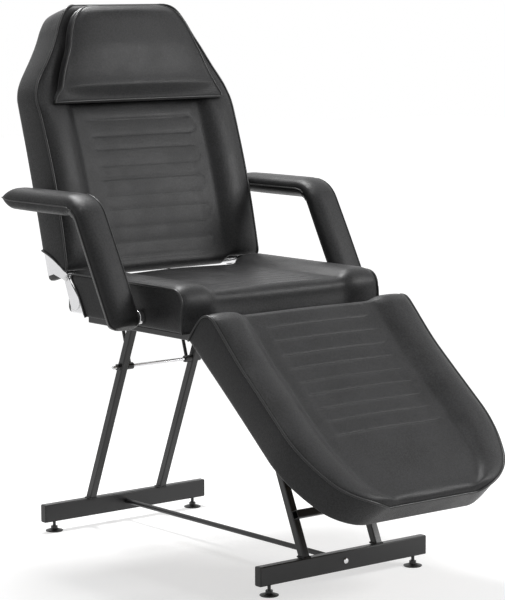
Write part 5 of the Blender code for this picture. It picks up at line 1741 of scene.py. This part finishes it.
FINISHES = {
    Slot.LEATHER: CoatedCloth("black_coated_cloth", (0.019, 0.019, 0.0196), 0.40),
    Slot.BLACK_STEEL: CoatedSteel("black_enamelled_steel", (0.005, 0.005, 0.0055), 0.32),
    Slot.CHROME: PlatedSteel("bright_plating", (0.70, 0.70, 0.71), 0.11),
    Slot.STEEL: PlatedSteel("zinc_plating", (0.66, 0.66, 0.66), 0.26),
    Slot.BLACK_PLASTIC: MouldedPlastic("black_moulded_plastic", (0.008, 0.008, 0.008), 0.34),
    Slot.PLYWOOD: BirchBoard("birch_board", (0.52, 0.36, 0.21), 0.62),
    # The welt's colour, darker than the cover's vinyl, is painted shade that draws a dark line along each
    # seam.
    Look.WELT: CoatedCloth("black_welt_cloth", (0.007, 0.007, 0.0072), 0.36, grain=900.0, bump=0.00006,
                           reach=0.004, specular=0.42),
    Look.THREAD: CoatedCloth("black_sewing_thread", (0.016, 0.016, 0.017), 0.5, grain=4000.0, bump=0.00003,
                             reach=0.002, specular=0.4),
    # The braid's pale grey is partly its own colour and partly a painted highlight along the arm's rear edge.
    Look.BRAID: RibbedBraid("grey_braid", (0.36, 0.36, 0.36), 0.55),
}


METAL_EDGE = 0.0006
BOARD_EDGE = 0.0004
SMOOTH_LIMIT = radians(28)
WELD_DISTANCE = 0.00002


class Wardrobe:
    """All finished materials, by their slot."""

    def __init__(self) -> None:
        """Make every finish once."""
        effects = Effects()
        self.materials = {slot: finish.build(effects) for slot, finish in FINISHES.items()}

    def dress(self, piece: bpy.types.Object, look: Slot | Look) -> None:
        """Give a new piece its finish."""
        piece.data.materials.clear()
        piece.data.materials.append(self.materials[look])

    def dress_frame(self) -> None:
        """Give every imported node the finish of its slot, and the rigid ones soft edges."""
        smoothing = smoothing_tree()
        for node in frame["nodes"].values():
            slots = [Slot(holder.material.name.split(".")[0]) for holder in node.material_slots]
            for holder, slot in zip(node.material_slots, slots):
                holder.material = self.materials[slot]
            if Slot.LEATHER in slots:
                continue
            shading = node.modifiers.new("shading", "NODES")
            shading.node_group = smoothing
            soften(node, BOARD_EDGE if Slot.PLYWOOD in slots else METAL_EDGE)


def soften(piece: bpy.types.Object, width: float) -> None:
    """Round the sharp edges of a piece a little.

    Args:
        piece: The piece.
        width: Width of the rounding.
    """
    edge = piece.modifiers.new("edge", "BEVEL")
    edge.affect = "EDGES"
    edge.limit_method = "ANGLE"
    edge.angle_limit = SMOOTH_LIMIT
    edge.width = width
    edge.segments = 2
    edge.profile = 0.5
    edge.material = -1


def smoothing_tree() -> bpy.types.NodeTree:
    """Nodes that weld a faceted mesh and shade it smooth between its sharp edges.

    Returns:
        The node group.
    """
    tree = bpy.data.node_groups.new("smooth_between_edges", "GeometryNodeTree")
    for way in ("INPUT", "OUTPUT"):
        tree.interface.new_socket(name="Geometry", in_out=way, socket_type="NodeSocketGeometry")
    wire = Wiring(tree)
    source, sink = tree.nodes.new("NodeGroupInput"), tree.nodes.new("NodeGroupOutput")
    welded = wire.add("GeometryNodeMergeByDistance", Geometry=source.outputs[0], Distance=WELD_DISTANCE)
    plain = wire.add("GeometryNodeRemoveAttribute", Geometry=welded.outputs[0], Name="custom_normal")
    rounded = wire.add("GeometryNodeSetShadeSmooth", {"domain": "FACE"}, Geometry=plain.outputs[0])
    angle = wire.add("GeometryNodeInputMeshEdgeAngle").outputs[0]
    steep = wire.maths("GREATER_THAN", angle, SMOOTH_LIMIT)
    crisp = wire.add("GeometryNodeSetShadeSmooth", {"domain": "EDGE"}, Geometry=rounded.outputs[0],
                     Selection=steep, Shade_Smooth=False)
    wire.feed(sink.inputs[0], crisp.outputs[0])
    return tree


@dataclass
class Piping:
    """Corded edge of a pad: a round welt along a path, sewn into the seam."""

    name: str
    body: str
    radius: float = 0.0029
    stand: float = 0.0008

    def build(self, path: Sequence[Vector], pad: bpy.types.Object, closed: bool) -> bpy.types.Object:
        """Sweep the welt along its path, just outside the pad's edge.

        Args:
            path: Points of the edge.
            pad: The pad that it is sewn to.
            closed: Whether the path is a loop.

        Returns:
            The welt.
        """
        nearby = KDTree(len(pad.data.vertices))
        for vert in pad.data.vertices:
            nearby.insert(vert.co, vert.index)
        nearby.balance()
        out = [point + pad.data.vertices[nearby.find(point)[1]].normal * self.stand for point in path]
        welt = finished_object(self.name, tube(out, self.radius, closed=closed))
        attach(welt, self.body)
        return welt


HEM_COLUMNS = 4
HEM_END_STEPS = 24
HEM_WAVE_SHARES = (0.4, 1.0, 0.8, 1.0, 0.4)
HEM_WALL_SHARE = 0.7
STAPLE_SIDES = 6


@dataclass
class Hem:
    """Turned-in border of a pad's cover, stapled to the rear of its board."""

    form: PadForm
    wardrobe: "Wardrobe"
    first: float
    outer: float = 0.004
    inner: float = 0.025
    rise: float = 0.0011
    staple_pitch: float = 0.034
    staple_span: float = 0.011
    staple_wire: float = 0.0006

    def spot(self, along: float, side: float, inset: float, out: float) -> Vector:
        """A place on the rear of the board, at an inset from the pad's edge.

        Args:
            along: Place along the pad.
            side: Side of the pad, one or minus one.
            inset: How far in from the edge.
            out: How far out of the underside.

        Returns:
            The point in the bed's frame.
        """
        form = self.form
        end = form.top_rows[-1] - inset
        near = min(along, end)
        return form.settle(near, side * (form.under_half_width(near) - inset), form.under - out)

    def outline(self, inset: float, out: float) -> list[Vector]:
        """Points of the border at one inset, up one side, over the end and down the other.

        Args:
            inset: Distance from the pad's edge.
            out: Height over the board.

        Returns:
            The points.
        """
        rows = [row for row in self.form.top_rows if row > self.first]
        up = [self.spot(row, 1, inset, out) for row in rows]
        down = [self.spot(row, -1, inset, out) for row in rows[::-1]]
        end_steps = spaced(0, 1, 1 / HEM_END_STEPS)[1:-1]
        return up + [up[-1].lerp(down[0], share) for share in end_steps] + down

    def build(self) -> None:
        """Lay the border and drive in the staples."""
        wide = self.inner - self.outer
        lines = [self.outline(self.outer + wide * column / HEM_COLUMNS, self.rise * share)
                 for column, share in enumerate(HEM_WAVE_SHARES)]
        name = self.form.name.removesuffix("_pad")
        strip = finished_object(f"{name}_hem", bent_grid(
            len(lines[0]) - 1, HEM_COLUMNS, lambda row, column: lines[column][row], capped=False))
        thicken(strip, self.rise * HEM_WALL_SHARE)
        staples = finished_object(f"{name}_staples", self.staples())
        for piece, slot in ((strip, Slot.LEATHER), (staples, Slot.STEEL)):
            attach(piece, self.form.body)
            self.wardrobe.dress(piece, slot)

    def staples(self) -> bmesh.types.BMesh:
        """Bend the staples that hold the border.

        Returns:
            Their mesh.
        """
        middle = self.outline((self.outer + self.inner) / 2, self.rise)
        out = -self.form.section.upward
        bm = bmesh.new()
        since = 0.0
        for before, after in zip(middle, middle[1:]):
            since += (after - before).length
            if since < self.staple_pitch:
                continue
            since = 0.0
            run = (after - before).normalized() * self.staple_span / 2
            crown = [after - run - out * self.rise, after - run + out * self.staple_wire,
                     after + run + out * self.staple_wire, after + run - out * self.rise]
            add_mesh(bm, tube(crown, self.staple_wire, sides=STAPLE_SIDES))
        return bm


@dataclass
class WeldBeads:
    """Rippled weld beads round both ends of each leg."""

    wardrobe: "Wardrobe"
    radius: float = 0.0022
    ripple: float = 0.0006
    ripple_pitch: float = 0.0022
    ripple_rows: int = 3
    sides: int = 8
    slice_depth: float = 0.002

    def build(self) -> None:
        """Lay a bead round the foot and the top of every leg."""
        for end in ("rear", "front"):
            for side in Side:
                leg = frame["nodes"][f"{end}_leg_{side.label}"]
                corners = [leg.matrix_world @ vert.co for vert in leg.data.vertices]
                for label, pick in (("foot", min), ("top", max)):
                    level = pick(point.z for point in corners)
                    near = [point for point in corners if abs(point.z - level) < self.slice_depth]
                    self.bead(f"{end}_leg_{side.label}_{label}_weld", near, level)

    def bead(self, name: str, near: Sequence[Vector], level: float) -> None:
        """Lay one bead round a leg's end.

        Args:
            name: The bead's name.
            near: Corners of the leg's end.
            level: Height of the joint.
        """
        low = Vector((min(point.x for point in near), min(point.y for point in near), level))
        high = Vector((max(point.x for point in near), max(point.y for point in near), level))
        corners = [low, Vector((high.x, low.y, level)), high, Vector((low.x, high.y, level))]
        path: list[Vector] = []
        for start, stop in zip(corners, corners[1:] + corners[:1]):
            count = ceil((stop - start).length * self.ripple_rows / self.ripple_pitch)
            path += [start.lerp(stop, step / count) for step in range(count)]
        frames = travelling_frames(path, closed=True)
        sides, count = self.sides, len(path)

        def place(row: int, column: int) -> Vector:
            """A point of the bead's skin."""
            _, side, lift = frames[row % count]
            turn = FULL_TURN * (column % sides) / sides
            size = self.radius + self.ripple * cos(FULL_TURN * row / self.ripple_rows)
            return path[row % count] + side * (size * cos(turn)) + lift * (size * sin(turn))

        weld = finished_object(name, bent_grid(count, sides, place, capped=False))
        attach(weld, "base")
        self.wardrobe.dress(weld, Slot.BLACK_STEEL)


SKY = 0.9


@dataclass
class Stitching:
    """Small stitches along the quilted line of a pad."""

    name: str
    pitch: float = 0.0042
    length_share: float = 0.74
    width: float = 0.0010
    height: float = 0.0006

    def build(self, form: PadForm, pad: bpy.types.Object) -> bpy.types.Object:
        """Lay the stitches on the finished pad.

        Args:
            form: The pad's shape.
            pad: Its object.

        Returns:
            The stitches as one piece.
        """
        skin = BVHTree.FromObject(pad, bpy.context.evaluated_depsgraph_get())
        upward = form.section.upward
        runs = []
        for pair in form.quilting.paths(self.pitch):
            above = [form.section.place(point.x, point.y, 0) + upward * SKY for point in pair]
            spots = [skin.ray_cast(place, -upward)[0] for place in above]
            runs += zip(spots, spots[1:])
        bead = bmesh.new()
        bmesh.ops.create_uvsphere(bead, u_segments=6, v_segments=4, radius=HALF)
        stitch = bpy.data.meshes.new("stitch")
        bead.to_mesh(stitch)
        bead.free()
        bm = bmesh.new()
        for start, end in runs:
            run = end - start
            side = upward.cross(run).normalized()
            over = run.cross(side).normalized()
            scale = (run * self.length_share, side * self.width, over * self.height)
            placed = Matrix.Translation(start.lerp(end, HALF)) @ Matrix(scale).transposed().to_4x4()
            stitch.transform(placed)
            bm.from_mesh(stitch)
            stitch.transform(placed.inverted())
        bpy.data.meshes.remove(stitch)
        threads = finished_object(self.name, bm)
        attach(threads, form.body)
        return threads


@dataclass
class Studio:
    """Camera, lamps, floor and pale surroundings."""

    eye: tuple[float, float, float] = (4.4992, -3.6542, 1.3864)
    heading: float = radians(51.009)
    pitch: float = radians(7.433)
    roll: float = radians(-0.210)
    lens: float = 145.8
    sensor: float = 36.0
    sky: float = 0.16
    floor_glow: float = 0.62
    bed_reach: float = 1.6
    floor_reach: float = 6.0
    floor_size: float = 14.0
    floor_tone: float = 0.50
    aim_height: float = 0.6

    def camera(self) -> None:
        """Stand the camera where the picture was taken."""
        flat = Vector((-sin(self.heading), cos(self.heading), 0))
        forward = flat * cos(self.pitch) - Vector((0, 0, sin(self.pitch)))
        right = Vector((cos(self.heading), sin(self.heading), 0))
        upward = flat * sin(self.pitch) + Vector((0, 0, cos(self.pitch)))
        across = right * cos(self.roll) + upward * sin(self.roll)
        over = upward * cos(self.roll) - right * sin(self.roll)
        data = bpy.data.cameras.new("view")
        data.lens = self.lens
        data.sensor_width = self.sensor
        data.clip_end = 60
        camera = bpy.data.objects.new("view", data)
        turned = Matrix((across, over, -forward)).transposed().to_4x4()
        camera.matrix_world = Matrix.Translation(self.eye) @ turned
        bpy.context.scene.collection.objects.link(camera)
        bpy.context.scene.camera = camera

    def floor(self) -> None:
        """Lay the wide pale floor, which shows white to the camera and keeps the shadow."""
        bm = bmesh.new()
        bmesh.ops.create_grid(bm, x_segments=8, y_segments=8, size=self.floor_size)
        floor = finished_object("floor", bm, smooth=False)
        material = bpy.data.materials.new("pale_floor")
        material.use_nodes = True
        wire = Wiring(material.node_tree)
        shader = material.node_tree.nodes["Principled BSDF"]
        shader.inputs["Base Color"].default_value = (self.floor_tone, self.floor_tone, self.floor_tone, 1)
        shader.inputs["Roughness"].default_value = 0.9
        shader.inputs["Specular IOR Level"].default_value = 0.1
        shader.inputs["Emission Strength"].default_value = 1.0
        away = wire.add("ShaderNodeVectorMath", {"operation": "LENGTH"})
        wire.feed(away.inputs[0], wire.add("ShaderNodeTexCoord").outputs["Object"])
        glow = wire.spread(away.outputs["Value"], self.bed_reach, self.floor_reach, self.floor_glow, 1.0)
        wire.feed(shader.inputs["Emission Color"], wire.maths("MULTIPLY", seen_share(wire), glow))
        floor.data.materials.append(material)

    def lamp(self, name: str, place: tuple[float, float, float], size: float, power: float) -> None:
        """Hang a soft square lamp that faces the bed.

        Args:
            name: The lamp's name.
            place: Where it hangs.
            size: Its side.
            power: Its power in watts.
        """
        data = bpy.data.lights.new(name, "AREA")
        data.size = size
        data.energy = power
        lamp = bpy.data.objects.new(name, data)
        lamp.location = place
        aim = Vector((0, 0, self.aim_height)) - Vector(place)
        lamp.rotation_euler = aim.to_track_quat("-Z", "Y").to_euler()
        bpy.context.scene.collection.objects.link(lamp)

    def surroundings(self) -> None:
        """White to the camera and in reflections, plain grey light otherwise."""
        world = bpy.data.worlds.new("surroundings")
        bpy.context.scene.world = world
        world.use_nodes = True
        wire = Wiring(world.node_tree)
        background = world.node_tree.nodes["Background"]
        grey = (self.sky, self.sky, self.sky, 1)
        wire.feed(background.inputs["Color"], wire.blend(seen_share(wire), grey, (1, 1, 1, 1)))
        background.inputs["Strength"].default_value = 1.0

    def build(self) -> None:
        """Set up everything round the bed."""
        self.camera()
        self.floor()
        self.lamp("front_softbox", (2.6, 2.4, 2.3), 1.2, 95)
        self.lamp("top_softbox", (-1.2, 0.2, 3.0), 0.8, 110)
        self.surroundings()
        scene = bpy.context.scene
        scene.view_settings.view_transform = "Standard"


def seen_share(wire: Wiring) -> bpy.types.NodeSocket:
    """One for rays of the camera, of reflections and of clear materials, nought for others.

    Args:
        wire: The wiring that the nodes go into.

    Returns:
        The share.
    """
    path = wire.add("ShaderNodeLightPath")
    mirrored = wire.maths("MAXIMUM", path.outputs["Is Glossy Ray"], path.outputs["Is Transmission Ray"])
    return wire.maths("MAXIMUM", path.outputs["Is Camera Ray"], mirrored)


BACK_LEAN = radians(74)
LEG_LEAN = radians(40)
RIM = 0.006
TUBE_ROOM = 0.0283
SEAT_HEM_START = -0.160
BACK_HEM_START = 0.330
LEG_HEM_START = 0.045


def turned_hinge(joint: str, lean: float) -> Matrix:
    """Place of a section that leans on its hinge.

    Args:
        joint: The hinge's joint.
        lean: How far the section leans at rest.

    Returns:
        The section's matrix.
    """
    return Matrix.Translation(hinge_place(joint)) @ Matrix.Rotation(lean, 4, "Y")


def hollow_skirt(rim: float, ceiling: float, board: float | None = None) -> tuple[tuple[float, float], ...]:
    """Steps of a pad's underside from its edge inwards, each an inset and a height.

    Args:
        rim: Height of the lower edge.
        ceiling: Height of the hollow inside it.
        board: Height of the face on the board, where the hollow holds a side tube.

    Returns:
        The steps.
    """
    steps = ((0.0, rim), (RIM, rim), (RIM, ceiling))
    if board is None:
        return steps
    return steps + ((TUBE_ROOM, ceiling), (TUBE_ROOM, board))


@dataclass
class Upholstery:
    """All sewn pads with their welts."""

    wardrobe: Wardrobe

    def build(self) -> None:
        """Make the pads in order and dress them."""
        base = SectionFrame(Matrix.Translation((SHIFT, 0, 0)))
        back = SectionFrame(turned_hinge("back_recline", BACK_LEAN), -1.0)
        rest = SectionFrame(turned_hinge("leg_raise", LEG_LEAN))
        seat_pad = SeatPad("seat_pad", "seat_cushion", "base", base, under=0.585,
                           skirt=hollow_skirt(0.585, 0.6468, 0.6003), quilting=Quilting(-0.196))
        back_pad = BackPad("back_pad", "back_cushion", "back", back, under=-0.070, cell=0.0068,
                           skirt=hollow_skirt(-0.070, -0.0307, -0.0547), quilting=Quilting(0.037))
        leg_pad = LegPad("leg_pad", "leg_cushion", "leg_rest", rest, under=0.0255, cell=0.0066,
                         skirt=hollow_skirt(0.0255, 0.0408),
                         quilting=Quilting(0.049, pair=0.042, period=0.081, left=-0.150, right=0.152))
        pillow = HeadPillow("pillow_pad", "head_pillow", "back", back, back=back_pad, wall_layers=8)
        for form in (seat_pad, back_pad, leg_pad, pillow):
            pad = form.build()
            self.wardrobe.dress(pad, Slot.LEATHER)
            self.welts(form, pad)
            if form.quilting:
                threads = Stitching(f"{form.name}_stitches").build(form, pad)
                self.wardrobe.dress(threads, Look.THREAD)
        for form, first in ((seat_pad, SEAT_HEM_START), (back_pad, BACK_HEM_START), (leg_pad, LEG_HEM_START)):
            Hem(form, self.wardrobe, first).build()
        for side in Side:
            Armrest(side, self.wardrobe).build()

    def welts(self, form: PadForm, pad: bpy.types.Object) -> None:
        """Run a welt along each piped edge of a pad.

        Args:
            form: The pad's form.
            pad: The pad.
        """
        for label, path in form.welt_paths().items():
            piping = Piping(f"{form.name}_piping_{label}", form.body)
            welt = piping.build(path, pad, isinstance(form, HeadPillow))
            self.wardrobe.dress(welt, Look.WELT)


def main() -> None:
    """Build the bed's dress in order."""
    logging.basicConfig(level=logging.INFO, format="%(message)s")
    wardrobe = Wardrobe()
    wardrobe.dress_frame()
    Upholstery(wardrobe).build()
    WeldBeads(wardrobe).build()
    Studio().build()


if __name__ == "__main__":
    main()
